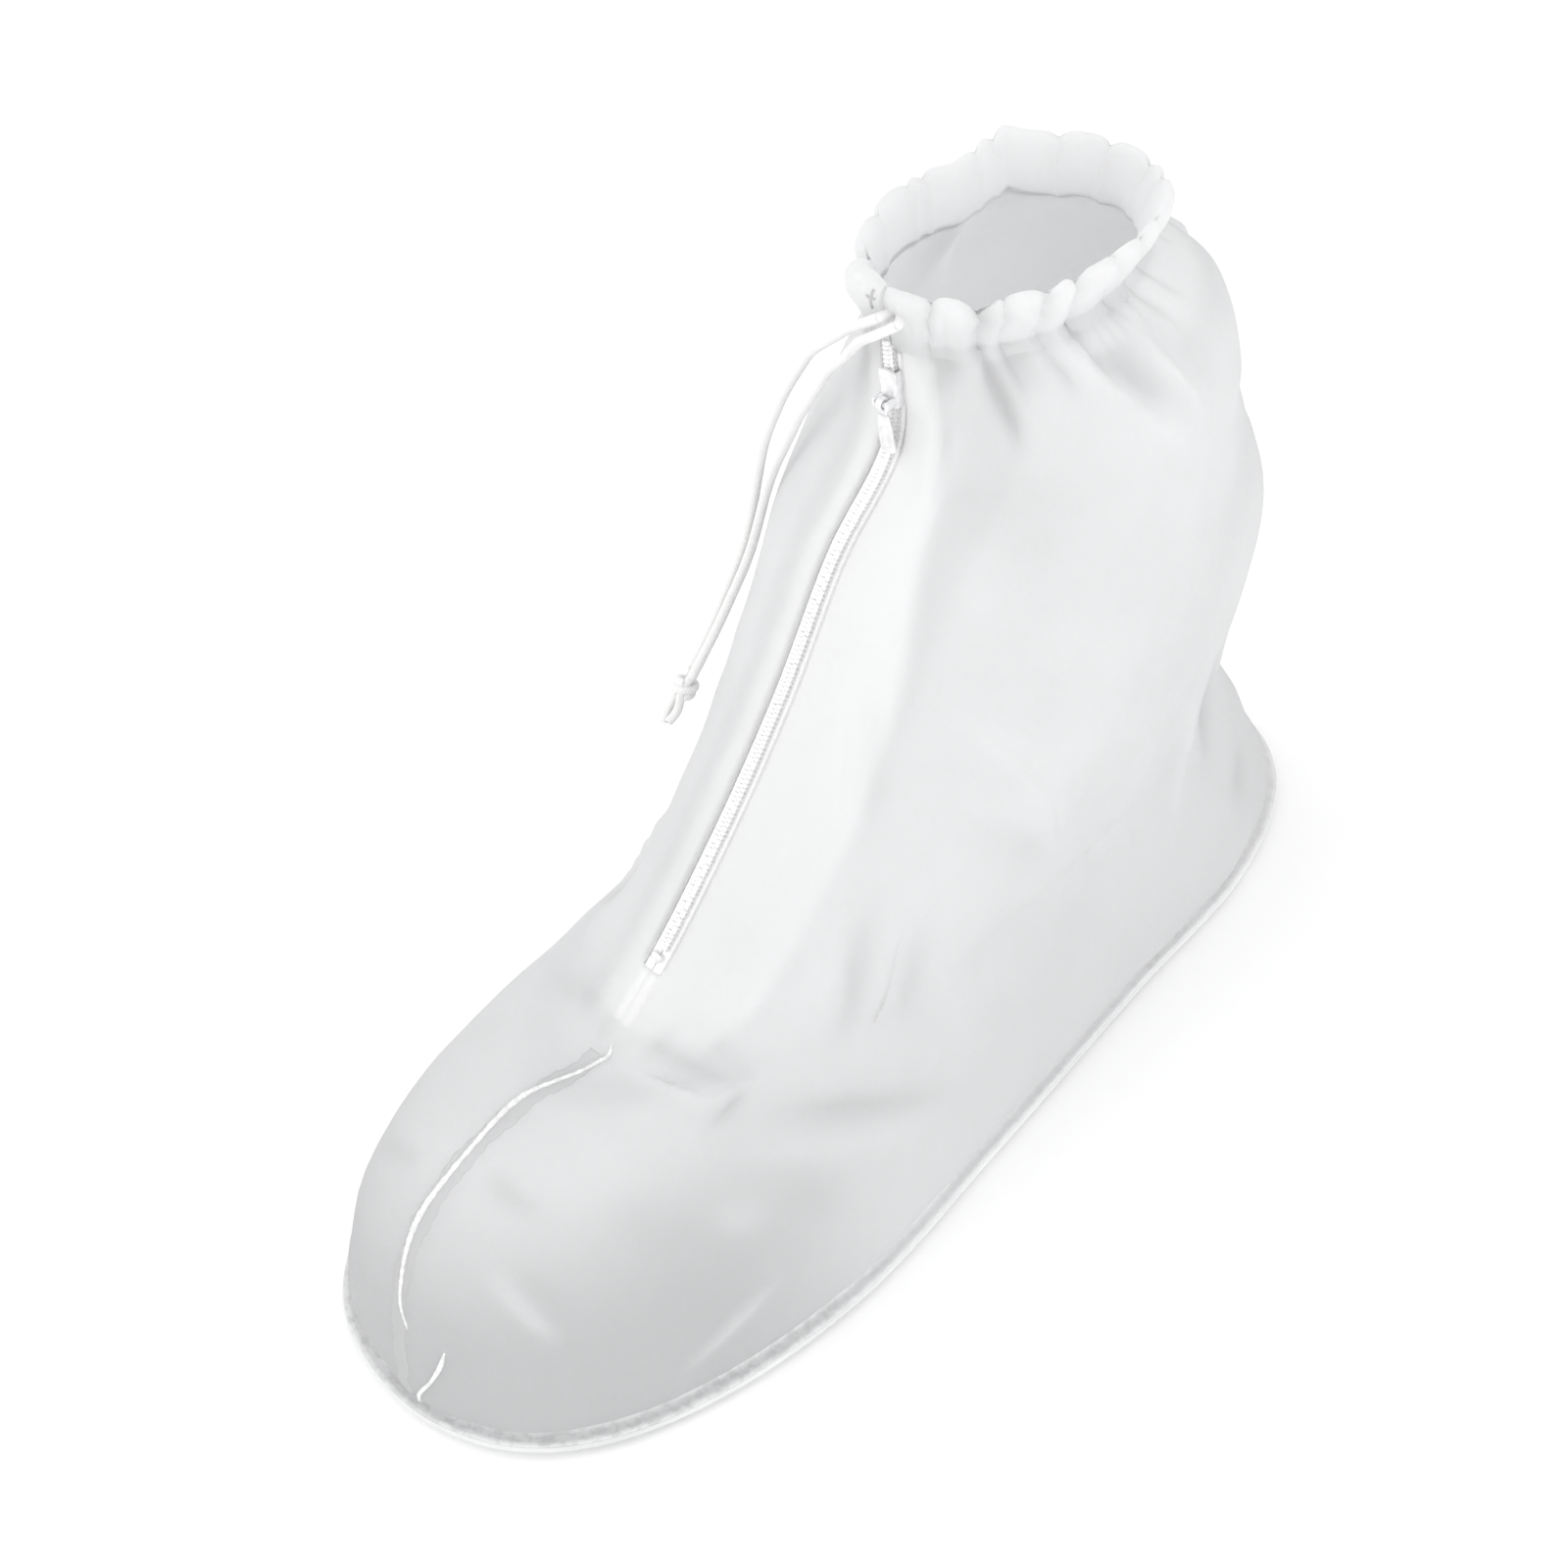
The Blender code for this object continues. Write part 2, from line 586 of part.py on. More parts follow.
def pull_rest(frame):
    """Angle by which the pull leans in from the pin until it nearly touches the coil."""
    levels = np.linspace(SLIDER_AT - 0.1, SLIDER_AT - 1.2, 60)
    lift = CHAIN_RISE + PULL_CLEAR + PULL_THICK / 2
    line = upper_point(0.0, levels) + lift * upper_normal(0.0, levels)
    to_pin = frame.inverted()
    angles = []
    for point in line:
        local = to_pin @ Vector(point)
        if EYE_RADIUS < -local.y < PULL_NECK + PULL_LENGTH:
            angles.append(math.atan2(-local.z, -local.y))
    return min(angles)


def make_pull(parts, cutters):
    """Pull tab: an eye round the slider's pin, a neck and a plate. Its origin is on the pin's axis."""
    frame = zip_frame(SLIDER_AT) @ Matrix.Translation(pin_place())
    frame = frame @ Matrix.Rotation(pull_rest(frame), 4, "X")
    half = PULL_THICK / 2
    start = -PULL_NECK
    plate = box_mesh("zip_pull_tab", (-PULL_HALF, start - PULL_LENGTH, -half), (PULL_HALF, start, half), METAL_BEVEL)
    pull = add_object("zip_pull_tab", plate, METAL, parts)
    neck = box_mesh("neck", (-EYE_HALF, start - JOIN_LAP, -half), (EYE_HALF, -PIN_RADIUS, half))
    neck = add_object("pull_neck", neck, METAL, cutters)
    eye = add_object("pull_eye", rod_mesh("pull_eye", EYE_RADIUS, EYE_HALF, 18), METAL, cutters)
    hole = add_object("pull_hole", rod_mesh("pull_hole", PIN_RADIUS + PIN_PLAY, EYE_HALF * 2, 18), METAL, cutters)
    for piece in (pull, neck, eye, hole):
        piece.matrix_world = frame
    union(pull, [neck, eye])
    hole.hide_render = True
    hole.display_type = "WIRE"
    cut = pull.modifiers.new("pin_hole", "BOOLEAN")
    cut.operation = "DIFFERENCE"
    cut.object = hole
    return pull


def tail_points(tail):
    """Smooth route of a cord tail: 0 is the outer one, 1 the inner one."""
    route = smooth_rows(TAIL_ROUTE, np.linspace(0, len(TAIL_ROUTE) - 1, TAIL_STEPS))
    turn, lift, level, rise = route[:, 2 * tail], route[:, 2 * tail + 1], route[:, 4], route[:, 5]
    points = upper_point(turn, level) + lift[:, None] * upper_normal(turn, level)
    points[:, 2] += rise
    return points


def make_drawcord(parts, cutters):
    """The cord's two free tails and the knot that ties their ends together."""
    ends, ways = [], []
    for tail, name in enumerate(("drawcord_tail_outer", "drawcord_tail_inner")):
        points = tail_points(tail)
        curve = bpy.data.curves.new(name, "CURVE")
        curve.dimensions = "3D"
        curve.bevel_depth = CORD_DIAMETER / 2
        curve.bevel_resolution = 2
        curve.use_fill_caps = True
        spline = curve.splines.new("POLY")
        spline.points.add(len(points) - 1)
        spline.points.foreach_set("co", np.column_stack([points, np.ones(len(points))]).ravel())
        add_object(name, curve, CORD_STUFF, parts)
        ends.append(Vector(points[-1]))
        ways.append(Vector(points[-1] - points[-2]))
    down = (ways[0] + ways[1]).normalized()
    beside = ends[1] - ends[0]
    beside = (beside - beside.dot(down) * down).normalized()
    frame = Matrix((beside, down.cross(beside), down)).transposed().to_4x4()
    frame.translation = (ends[0] + ends[1]) / 2 + (KNOT_RADIUS + 2 * GAP) * down
    shape = bmesh.new()
    bmesh.ops.create_uvsphere(shape, u_segments=14, v_segments=8, radius=KNOT_RADIUS)
    knot = add_object("drawcord_knot", finish_mesh("drawcord_knot", shape), CORD_STUFF, parts)
    knot.matrix_world = frame
    tips = []
    for number, sign in enumerate((-1, 1)):
        shape = bmesh.new()
        radius = CORD_DIAMETER / 2
        bmesh.ops.create_cone(
            shape, cap_ends=True, segments=10, radius1=radius, radius2=radius * 0.8, depth=KNOT_TAIL
        )
        end = add_object(f"knot_end_{number}", finish_mesh("knot_end", shape), CORD_STUFF, cutters)
        drop = Vector((sign * radius * KNOT_TAIL_APART, 0, KNOT_RADIUS + KNOT_TAIL / 2 - KNOT_TAIL_LAP))
        end.matrix_world = frame @ Matrix.Translation(drop)
        tips.append(end)
    union(knot, tips)


def main():
    clear_scene()
    parts = new_collection("waterproof_shoe_cover")
    cutters = new_collection("helpers")
    make_outsole(parts, cutters)
    make_upper(parts)
    make_seams(parts)
    make_casing(parts)
    make_zip(parts)
    make_slider(parts, cutters)
    make_pull(parts, cutters)
    make_drawcord(parts, cutters)
    bpy.context.view_layer.update()


main()
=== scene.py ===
"""Looks of a waterproof shoe cover: frosted film, moulded sole, front zip, gathered casing and drawcord."""

import math
from collections import namedtuple

import bmesh
import bpy
import numpy as np
from mathutils import Matrix, Vector


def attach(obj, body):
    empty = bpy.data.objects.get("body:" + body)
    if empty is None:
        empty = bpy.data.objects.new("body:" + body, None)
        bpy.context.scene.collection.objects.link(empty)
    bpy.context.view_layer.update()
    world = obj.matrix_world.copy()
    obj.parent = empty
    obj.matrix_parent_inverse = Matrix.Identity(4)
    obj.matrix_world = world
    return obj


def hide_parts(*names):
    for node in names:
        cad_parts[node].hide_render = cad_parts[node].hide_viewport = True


bl_info = {
    "name": "Waterproof shoe cover",
    "version": (1, 0, 0),
    "blender": (4, 5, 0),
    "location": "View3D > Sidebar > Shoe cover",
    "description": "Film upper with folds, moulded sole, zip and drawcord around a fixed frame",
    "category": "Object",
}

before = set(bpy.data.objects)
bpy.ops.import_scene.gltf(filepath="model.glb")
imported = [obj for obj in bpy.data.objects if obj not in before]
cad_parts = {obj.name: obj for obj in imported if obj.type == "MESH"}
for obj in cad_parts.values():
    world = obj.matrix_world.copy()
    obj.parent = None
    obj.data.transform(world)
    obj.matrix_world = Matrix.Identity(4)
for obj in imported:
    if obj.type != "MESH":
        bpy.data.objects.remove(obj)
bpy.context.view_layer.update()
COVER = "cover"
PULL = "pull"

# Sizes shared with the solids, in metres and degrees
SOLE_LENGTH = 0.300
BALL_WIDTH = 0.110
TOE_IN = 0.008
TOE_IN_FROM = 0.030
MIDDLE_SHIFT = 0.0034
TOE_SPRING = 0.003
TOE_SPRING_FROM = -0.105
WALL = 0.0008
GAP = 0.0003
LUG_HEIGHT = 0.0018
PLATE_TOP = 0.0042
FILM_BASE = PLATE_TOP + GAP + WALL
SLIT_HALF = 0.0028
TAPE_HALF = 0.0105
TAPE_THICK = 0.0006
CHAIN_HALF = 0.0014
CHAIN_RISE = 0.0008
GUSSET_THICK = 0.0005
GUSSET_INNER = -0.014
GUSSET_OUTER = 0.027
STOP_RISE = 0.0015
SLIDER_LENGTH = 0.0092
SLIDER_HALF = 0.0023
SLIDER_PLATE = 0.0010
PULL_LENGTH = 0.0098
PULL_HALF = 0.0019
PULL_THICK = 0.0010
PULL_NECK = 0.0025
PULL_CLEAR = 0.0004
PIN_RADIUS = 0.0006
PIN_FROM_END = 0.0022
EYE_RADIUS = 0.0016
EYE_HALF = 0.0009
POST_HALF = 0.0005
POST_LENGTH_HALF = 0.0010
POST_OVER_PIN = 0.0009
KNOT_RADIUS = 0.0030
KNOT_TAIL = 0.0075
CASING_HEIGHT = 0.0140
LEAN_FRONT_DEG = 5.0
LEAN_BACK_DEG = 15.0
CASING_SPLIT = 0.0003
TROUGH_DEPTH = 0.0060  # dip of the film across the foot of the zip
TROUGH_TURN = 0.17
TROUGH_LEVELS = 0.65
MM = 0.001  # the tables of folds and gathers are in millimetres

# Outline of the sole: share of the ball's half width, by turn from the toe tip (0) to the heel (1)
OutlineRow = namedtuple("OutlineRow", "turn outer inner")
OUTLINE = (
    OutlineRow(0.000, 0.00, 0.00),
    OutlineRow(0.125, 0.53, 0.62),
    OutlineRow(0.250, 0.85, 0.96),
    OutlineRow(0.375, 0.97, 0.98),
    OutlineRow(0.500, 0.88, 0.81),
    OutlineRow(0.625, 0.79, 0.75),
    OutlineRow(0.750, 0.73, 0.75),
    OutlineRow(0.875, 0.48, 0.51),
    OutlineRow(1.000, 0.00, 0.00),
)

# Rings of the film from the welded rim to the drawn collar. A level is a place between two rings.
Ring = namedtuple("Ring", "name front_y front_z back_y back_z half_width side sole_share")
RINGS = (
    Ring("rim", -0.1496, FILM_BASE, 0.1496, FILM_BASE, 0.0547, 0.0000, 1.00),
    Ring("weld", -0.1458, FILM_BASE, 0.1458, FILM_BASE, 0.0510, 0.0000, 1.00),
    Ring("wall_low", -0.1470, 0.0170, 0.1442, 0.0120, 0.0503, 0.0004, 1.00),
    Ring("wall_mid", -0.1470, 0.0400, 0.1402, 0.0240, 0.0472, 0.0010, 0.92),
    Ring("toe_bend", -0.1412, 0.0640, 0.1358, 0.0350, 0.0428, 0.0014, 0.78),
    Ring("toe_top", -0.1265, 0.0815, 0.1312, 0.0450, 0.0388, 0.0016, 0.58),
    Ring("vamp", -0.1060, 0.0880, 0.1280, 0.0550, 0.0375, 0.0014, 0.38),
    Ring("crease", -0.0860, 0.0905, 0.1265, 0.0660, 0.0380, 0.0016, 0.22),
    Ring("zip_foot", -0.0680, 0.1010, 0.1290, 0.0880, 0.0388, 0.0020, 0.10),
    Ring("instep", -0.0460, 0.1290, 0.1325, 0.1180, 0.0402, 0.0026, 0.00),
    Ring("shaft_low", -0.0250, 0.1570, 0.1245, 0.1490, 0.0415, 0.0016, 0.00),
    Ring("shaft_mid", -0.0065, 0.1850, 0.1115, 0.1790, 0.0402, 0.0000, 0.00),
    Ring("shaft_high", 0.0065, 0.2130, 0.1020, 0.2075, 0.0355, 0.0042, 0.00),
    Ring("collar", 0.0100, 0.2385, 0.0835, 0.2255, 0.0205, 0.0006, 0.00),
)
LEVEL = {ring.name: number for number, ring in enumerate(RINGS)}
TOP = len(RINGS) - 1
WELD = LEVEL["weld"]
ZIP_FOOT = LEVEL["zip_foot"]
ZIP_STOP = ZIP_FOOT + 0.12
SLIDER_AT = TOP - 0.48
TAPE_FROM = ZIP_FOOT - 0.55
TAPE_TO = TOP - 0.06
FLAP_FROM = ZIP_FOOT - 0.75
FLAP_TO = TOP - 0.10

# Folds of the film: a line over the surface through three places, its half width and its height in
# millimetres, above zero for a ridge and below for a trough, and how sharp its crest is
Fold = namedtuple("Fold", "name turn_a level_a turn_b level_b turn_c level_c width height sharp")
FOLDS = (
    Fold("back_crease", 0.633, 13.00, 0.552, 12.10, 0.720, 10.10, 2.0, 1.4, 0.9),
    Fold("back_hollow", 0.685, 12.66, 0.605, 12.01, 0.730, 10.67, 6.5, -0.5, 0.1),
    Fold("back_fill", 0.560, 11.30, 0.790, 11.20, 1.000, 11.15, 9.0, 1.9, 0.0),
    Fold("back_ease", 0.560, 10.25, 0.820, 10.15, 1.000, 10.10, 11.0, -1.4, 0.0),
    Fold("side_crease", 0.400, 13.00, 0.438, 12.44, 0.490, 11.80, 3.2, 2.2, 0.6),
    Fold("side_crease_end", 0.440, 12.30, 0.510, 11.75, 0.590, 11.20, 3.6, 1.4, 0.5),
    Fold("side_hollow", 0.500, 12.90, 0.485, 12.46, 0.520, 11.77, 5.5, -2.0, 0.1),
    Fold("zip_edge", 0.145, 12.95, 0.084, 12.06, 0.125, 11.00, 2.2, 1.3, 0.7),
    Fold("zip_edge_outer", 0.192, 12.90, 0.125, 12.03, 0.150, 11.00, 2.4, 1.1, 0.6),
    Fold("zip_hollow", 0.160, 12.60, 0.104, 12.05, 0.128, 11.45, 2.2, -0.8, 0.3),
    Fold("panel_edge", 0.143, 11.45, 0.239, 10.96, 0.308, 10.57, 6.0, 1.2, 0.3),
    Fold("panel_edge_low", 0.308, 10.57, 0.419, 10.17, 0.549, 9.58, 7.0, 1.2, 0.3),
    Fold("panel_hollow", 0.176, 12.22, 0.279, 11.60, 0.417, 10.94, 15.0, -1.5, 0.0),
    Fold("rim_hollow_front", 0.166, 13.00, 0.160, 12.85, 0.155, 12.45, 2.8, -1.3, 0.1),
    Fold("rim_hollow_side", 0.326, 13.00, 0.327, 12.85, 0.328, 12.45, 2.8, -1.2, 0.1),
    Fold("notch_ridge", 0.269, 13.00, 0.237, 12.86, 0.178, 12.63, 2.4, 1.2, 0.6),
    Fold("gather_edge", 0.131, 13.00, 0.101, 12.76, 0.056, 12.37, 2.2, 0.9, 0.6),
    Fold("ankle_band", 0.250, 9.90, 0.407, 9.25, 0.620, 8.20, 8.0, 1.8, 0.0),
    Fold("ankle_ridge", 0.190, 9.70, 0.403, 8.93, 0.724, 4.00, 5.5, 2.8, 0.5),
    Fold("ankle_trough", 0.290, 8.85, 0.507, 7.60, 0.690, 4.10, 7.0, -1.7, 0.1),
    Fold("ankle_edge", 0.650, 8.70, 0.722, 6.40, 0.700, 3.90, 3.4, 2.8, 0.9),
    Fold("ankle_tuck", 0.710, 8.50, 0.790, 6.40, 0.760, 3.90, 5.0, -2.6, 0.3),
    Fold("fan_middle", 0.290, 8.75, 0.332, 7.36, 0.405, 4.80, 1.6, 1.3, 1.0),
    Fold("fan_front", 0.188, 8.54, 0.245, 7.88, 0.324, 6.36, 3.4, 1.2, 0.3),
    Fold("fan_back", 0.359, 7.96, 0.450, 5.80, 0.500, 4.00, 4.0, 1.1, 0.3),
    Fold("fan_gap", 0.240, 8.70, 0.290, 7.60, 0.355, 5.60, 4.0, -1.1, 0.1),
    Fold("fan_gap_back", 0.325, 8.40, 0.385, 6.60, 0.450, 4.60, 4.2, -0.9, 0.1),
    Fold("instep_trough", 0.000, 7.45, 0.137, 7.09, 0.300, 5.80, 2.6, -0.8, 0.5),
    Fold("instep_fork", 0.060, 7.70, 0.180, 7.13, 0.285, 5.80, 3.2, -0.4, 0.3),
    Fold("instep_ridge", 0.030, 7.10, 0.140, 6.72, 0.275, 5.60, 2.2, 1.5, 0.8),
    Fold("instep_turn", 0.268, 5.95, 0.262, 5.70, 0.250, 5.35, 2.2, -1.0, 0.6),
    Fold("side_trough", 0.287, 5.36, 0.401, 4.30, 0.505, 2.56, 4.2, -1.6, 0.3),
    Fold("side_ridge", 0.250, 5.20, 0.380, 4.05, 0.480, 2.60, 3.6, 1.0, 0.4),
    Fold("toe_hollow", 0.176, 4.69, 0.251, 4.13, 0.310, 3.19, 7.0, -1.3, 0.0),
    Fold("toe_hollow_low", 0.205, 3.80, 0.265, 3.09, 0.310, 2.62, 9.0, -1.2, 0.0),
    Fold("ball_hollow", 0.322, 4.55, 0.363, 3.52, 0.388, 2.90, 6.0, -1.3, 0.1),
    Fold("ball_bump", 0.275, 4.25, 0.306, 3.88, 0.340, 3.55, 4.6, 1.2, 0.1),
    Fold("rim_ridge", 0.240, 1.95, 0.291, 2.43, 0.345, 2.72, 2.0, 1.2, 0.8),
    Fold("toe_wrinkle", 0.085, 4.20, 0.137, 3.65, 0.172, 3.00, 2.6, 1.2, 0.4),
    Fold("toe_wrinkle_gap", 0.110, 4.25, 0.160, 3.70, 0.195, 3.05, 3.4, -0.9, 0.2),
    Fold("toe_wrinkle_high", 0.030, 5.30, 0.085, 4.95, 0.150, 4.75, 2.8, -0.8, 0.4),
    Fold("toe_wrinkle_low", 0.020, 3.45, 0.065, 3.10, 0.105, 2.50, 2.6, -1.0, 0.4),
    Fold("zip_pull_fold", 0.100, 10.30, 0.140, 9.60, 0.190, 8.80, 3.0, 1.2, 0.5),
    Fold("zip_pull_gap", 0.130, 10.35, 0.170, 9.70, 0.220, 9.00, 3.4, -1.0, 0.3),
    Fold("heel_dent", 0.860, 3.90, 0.820, 3.30, 0.770, 2.60, 6.0, -1.5, 0.2),
    Fold("inner_back_crease", -0.690, 13.00, -0.610, 11.80, -0.640, 10.60, 4.5, 2.6, 0.7),
    Fold("inner_back_hollow", -0.560, 13.00, -0.540, 12.00, -0.570, 11.10, 6.0, -2.2, 0.2),
    Fold("inner_panel_edge", -0.330, 11.20, -0.430, 10.60, -0.600, 9.80, 7.0, 1.7, 0.5),
    Fold("inner_ankle_ridge", -0.230, 9.40, -0.470, 8.60, -0.700, 5.40, 7.0, 2.3, 0.5),
    Fold("inner_ankle_trough", -0.290, 8.90, -0.520, 7.60, -0.690, 4.80, 7.0, -2.0, 0.2),
    Fold("inner_ankle_edge", -0.660, 8.50, -0.730, 6.30, -0.710, 4.10, 4.0, 2.5, 0.7),
    Fold("inner_ankle_tuck", -0.720, 8.30, -0.790, 6.30, -0.765, 4.10, 5.0, -2.2, 0.3),
    Fold("inner_fan", -0.260, 8.30, -0.290, 7.50, -0.360, 5.50, 2.8, 1.8, 0.7),
    Fold("inner_fan_gap", -0.225, 8.30, -0.250, 7.60, -0.300, 6.00, 3.6, -1.6, 0.3),
    Fold("inner_instep_trough", -0.022, 7.40, -0.110, 7.20, -0.220, 6.30, 3.6, -0.6, 0.3),
    Fold("inner_side_trough", -0.260, 5.60, -0.390, 4.50, -0.500, 3.10, 5.0, -1.7, 0.3),
    Fold("inner_toe_wrinkle", -0.040, 4.80, -0.100, 4.50, -0.200, 3.70, 2.8, -0.8, 0.4),
    Fold("inner_ball_hollow", -0.210, 4.80, -0.290, 4.10, -0.370, 3.20, 7.0, -1.0, 0.1),
)
FOLD_STEPS = 9
FOLD_REACH = 4  # widths from its line at which a fold ends
END_FADE = 0.45  # share of a fold's length over which it fades at each end
HEM_FADE = 0.6  # the same for a fold that starts at the casing and fades at its lower end alone
# Painted highlight on the folds' ridges and painted shade in their troughs, from their heights:
NARROW_FOLD = 3.2  # width in millimetres of a fold whose painted highlight or shade is as strong as its height says
MOST_SHADING = 1.6
FULL_SHADING_HEIGHT = 0.0014  # fold height at which the painted highlight or shade is full

# Gathers of the casing, from the zip round the outer side and back: the turn of a pinch, the depth of the
# rim's notch there and the swell of the puff after it, in millimetres
Gather = namedtuple("Gather", "turn notch swell")
GATHERS = (
    Gather(0.000, 0.6, 0.9),
    Gather(0.126, 1.8, 1.1),
    Gather(0.249, 4.2, 0.4),
    Gather(0.301, 1.3, 1.0),
    Gather(0.378, 1.8, 1.0),
    Gather(0.453, 2.4, 0.9),
    Gather(0.560, 0.9, 0.8),
    Gather(0.636, 2.0, 0.8),
    Gather(0.708, 1.4, 0.7),
    Gather(0.868, 0.8, 0.4),
    Gather(0.924, 0.9, 0.4),
    Gather(1.056, 0.9, 0.4),
    Gather(1.192, 0.7, 0.4),
    Gather(1.335, 1.0, 0.4),
    Gather(1.385, 0.8, 0.4),
    Gather(1.522, 0.8, 0.4),
    Gather(1.560, 0.7, 0.5),
    Gather(1.683, 0.7, 0.7),
    Gather(1.828, 2.6, 2.4),
    Gather(2.000, 0.6, 0.0),
)
PLEAT_LEVELS = 0.28  # levels over which the film under the casing takes up its puffs
STITCH_TURNS = (0.436, 0.582)  # row of small stitched pleats below the casing's outer side
STITCH_COUNT = 7
STITCH_SLANT = 0.003
STITCH_DROPS = (0.10, 0.24, 0.38)

# Swell over the welded rim, small waves and the flat stretch beside the foot of the zip
WALL_BULGE = 0.0019
WAVE_HEIGHT = 0.00035
FOOT_GUARD = 0.0130


class CoverSizes(bpy.types.PropertyGroup):
    """Sizes that a user may change without leaving the frame."""

    fold_strength: bpy.props.FloatProperty(
        name="Fold strength", description="Height of the film's folds against the table's",
        default=1.0, min=0.0, max=1.5,
    )
    pleat_height: bpy.props.FloatProperty(
        name="Pleat height", description="Height of the film's pleats for a puff of 1 mm",
        default=0.0007, unit="LENGTH",
    )
    coil_pitch: bpy.props.FloatProperty(
        name="Coil pitch", description="Distance between the zip's teeth", default=0.0011, unit="LENGTH"
    )
    cord_diameter: bpy.props.FloatProperty(
        name="Cord diameter", description="Thickness of the drawcord", default=0.0022, unit="LENGTH"
    )


class CoverColours(bpy.types.PropertyGroup):
    """Colours of the finishes."""

    film: bpy.props.FloatVectorProperty(
        name="Film", description="Frosted film", subtype="COLOR", size=3, default=(0.91, 0.912, 0.915)
    )
    sole: bpy.props.FloatVectorProperty(
        name="Sole", description="Moulded sole", subtype="COLOR", size=3, default=(0.80, 0.805, 0.81)
    )
    tape: bpy.props.FloatVectorProperty(
        name="Tape", description="Zip tape and coil", subtype="COLOR", size=3, default=(0.96, 0.96, 0.96)
    )
    metal: bpy.props.FloatVectorProperty(
        name="Metal", description="Slider, pull and stop", subtype="COLOR", size=3,
        default=(0.88, 0.88, 0.89),
    )
    cord: bpy.props.FloatVectorProperty(
        name="Cord", description="Drawcord", subtype="COLOR", size=3, default=(0.93, 0.93, 0.925)
    )


# Shape functions, all on whole arrays

def smooth_rows(rows, place):
    """Table values at fractional row numbers: a Catmull-Rom curve through each column."""
    table = np.array(rows, float)
    padded = np.vstack([2 * table[0] - table[1], table, 2 * table[-1] - table[-2]])
    place = np.clip(np.asarray(place, float), 0, len(table) - 1)
    start = np.minimum(place.astype(int), len(table) - 2)
    t = (place - start)[..., None]
    a, b, c, d = (padded[start + k] for k in range(4))
    return b + 0.5 * t * (c - a + t * (2 * a - 5 * b + 4 * c - d + t * (3 * (b - c) + d - a)))


def closed_rows(rows, count):
    """Evenly spread places on a smooth closed curve through a table's rows."""
    place = len(rows) + np.linspace(0, len(rows), count, endpoint=False)
    return smooth_rows([*rows, *rows, *rows], place)


def smoothstep(low, high, value):
    """0 below low, 1 above high, and a cubic between them."""
    t = np.clip((value - low) / (high - low), 0, 1)
    return t * t * (3 - 2 * t)


def around(sides):
    """Angles of evenly spread places round a section."""
    return np.linspace(0, 2 * np.pi, sides, endpoint=False)


def running_length(path):
    """Length along a path from its start to each of its points."""
    return np.concatenate([[0], np.cumsum(np.linalg.norm(np.diff(path, axis=0), axis=1))])


def toe_in(y):
    """Sideways lean of the foot's centre line: grows with the square of the way to the toe."""
    share = np.clip((TOE_IN_FROM - y) / (TOE_IN_FROM + SOLE_LENGTH / 2), 0, None)
    return MIDDLE_SHIFT - TOE_IN * share**2


def toe_spring(y):
    """Rise of the toe from the floor: grows with the square of the way to the tip."""
    share = np.clip((TOE_SPRING_FROM - y) / (SOLE_LENGTH / 2 + TOE_SPRING_FROM), 0, None)
    return TOE_SPRING * share**2


def outline_share(turn):
    """Half width of the sole's outline as a share of the ball's, for a signed turn."""
    turn = np.asarray(turn, float)
    shares = smooth_rows([(row.outer, row.inner) for row in OUTLINE], np.abs(turn) * (len(OUTLINE) - 1))
    return np.where(turn >= 0, shares[..., 0], shares[..., 1])


def film_base(turn, level):
    """Smooth film: on each ring, y and z run from front to back by the cosine of the turn and x is the half
    width times a mix of the sole's outline and an ellipse."""
    turn, level = np.broadcast_arrays(np.asarray(turn, float), np.asarray(level, float))
    values = smooth_rows([ring[1:] for ring in RINGS], level)
    front_y, front_z, back_y, back_z, half_width, side, sole_share = np.moveaxis(values, -1, 0)
    along = (1 + np.cos(np.pi * turn)) / 2
    y = back_y + (front_y - back_y) * along
    z = back_z + (front_z - back_z) * along
    sole_share = np.clip(sole_share, 0, 1)
    share = sole_share * outline_share(turn) + (1 - sole_share) * np.sin(np.pi * np.abs(turn))
    below_zip = (level - LEVEL["crease"]) / TROUGH_LEVELS
    z = z - TROUGH_DEPTH * np.exp(-((turn / TROUGH_TURN) ** 2) - below_zip**2)
    x = np.where(turn >= 0, 1, -1) * half_width * share
    return np.stack([x + side + toe_in(y), y, z + toe_spring(y)], axis=-1)


def film_normal(turn, level, step=0.004):
    """Outward normal of the smooth film: the cross product of its two slopes."""
    across = film_base(turn + step, level) - film_base(turn - step, level)
    low, high = np.maximum(level - step, 0), np.minimum(level + step, TOP)
    normal = np.cross(across, film_base(turn, high) - film_base(turn, low))
    return normal / np.linalg.norm(normal, axis=-1, keepdims=True)


def turn_at(side, level):
    """The turn that lies this far from the front line on a ring, found by halving."""
    level = np.asarray(level, float)
    low, high = np.zeros_like(level), np.full_like(level, 0.3)
    sign = -1.0 if side < 0 else 1.0
    for _ in range(30):
        middle = (low + high) / 2
        reach = film_base(sign * middle, level) - film_base(0.0, level)
        short = np.hypot(reach[..., 0], reach[..., 1]) < abs(side)
        low, high = np.where(short, middle, low), np.where(short, high, middle)
    return sign * low


def front_reach(turn, level):
    """Distance along the ring's plane from the front line."""
    reach = film_base(turn, level) - film_base(np.zeros_like(turn), level)
    return np.hypot(reach[..., 0], reach[..., 1])


def line_distance(points, line):
    """Distance of points from a broken line, and the share of the line's length at the nearest place."""
    best = np.full(len(points), np.inf)
    share = np.zeros(len(points))
    for number, (start, end) in enumerate(zip(line, line[1:])):
        way = end - start
        t = np.clip((points - start) @ way / (way @ way), 0, 1)
        gap = np.linalg.norm(points - start - t[:, None] * way, axis=1)
        nearer = gap < best
        best = np.where(nearer, gap, best)
        share = np.where(nearer, (number + t) / (len(line) - 1), share)
    return best, share


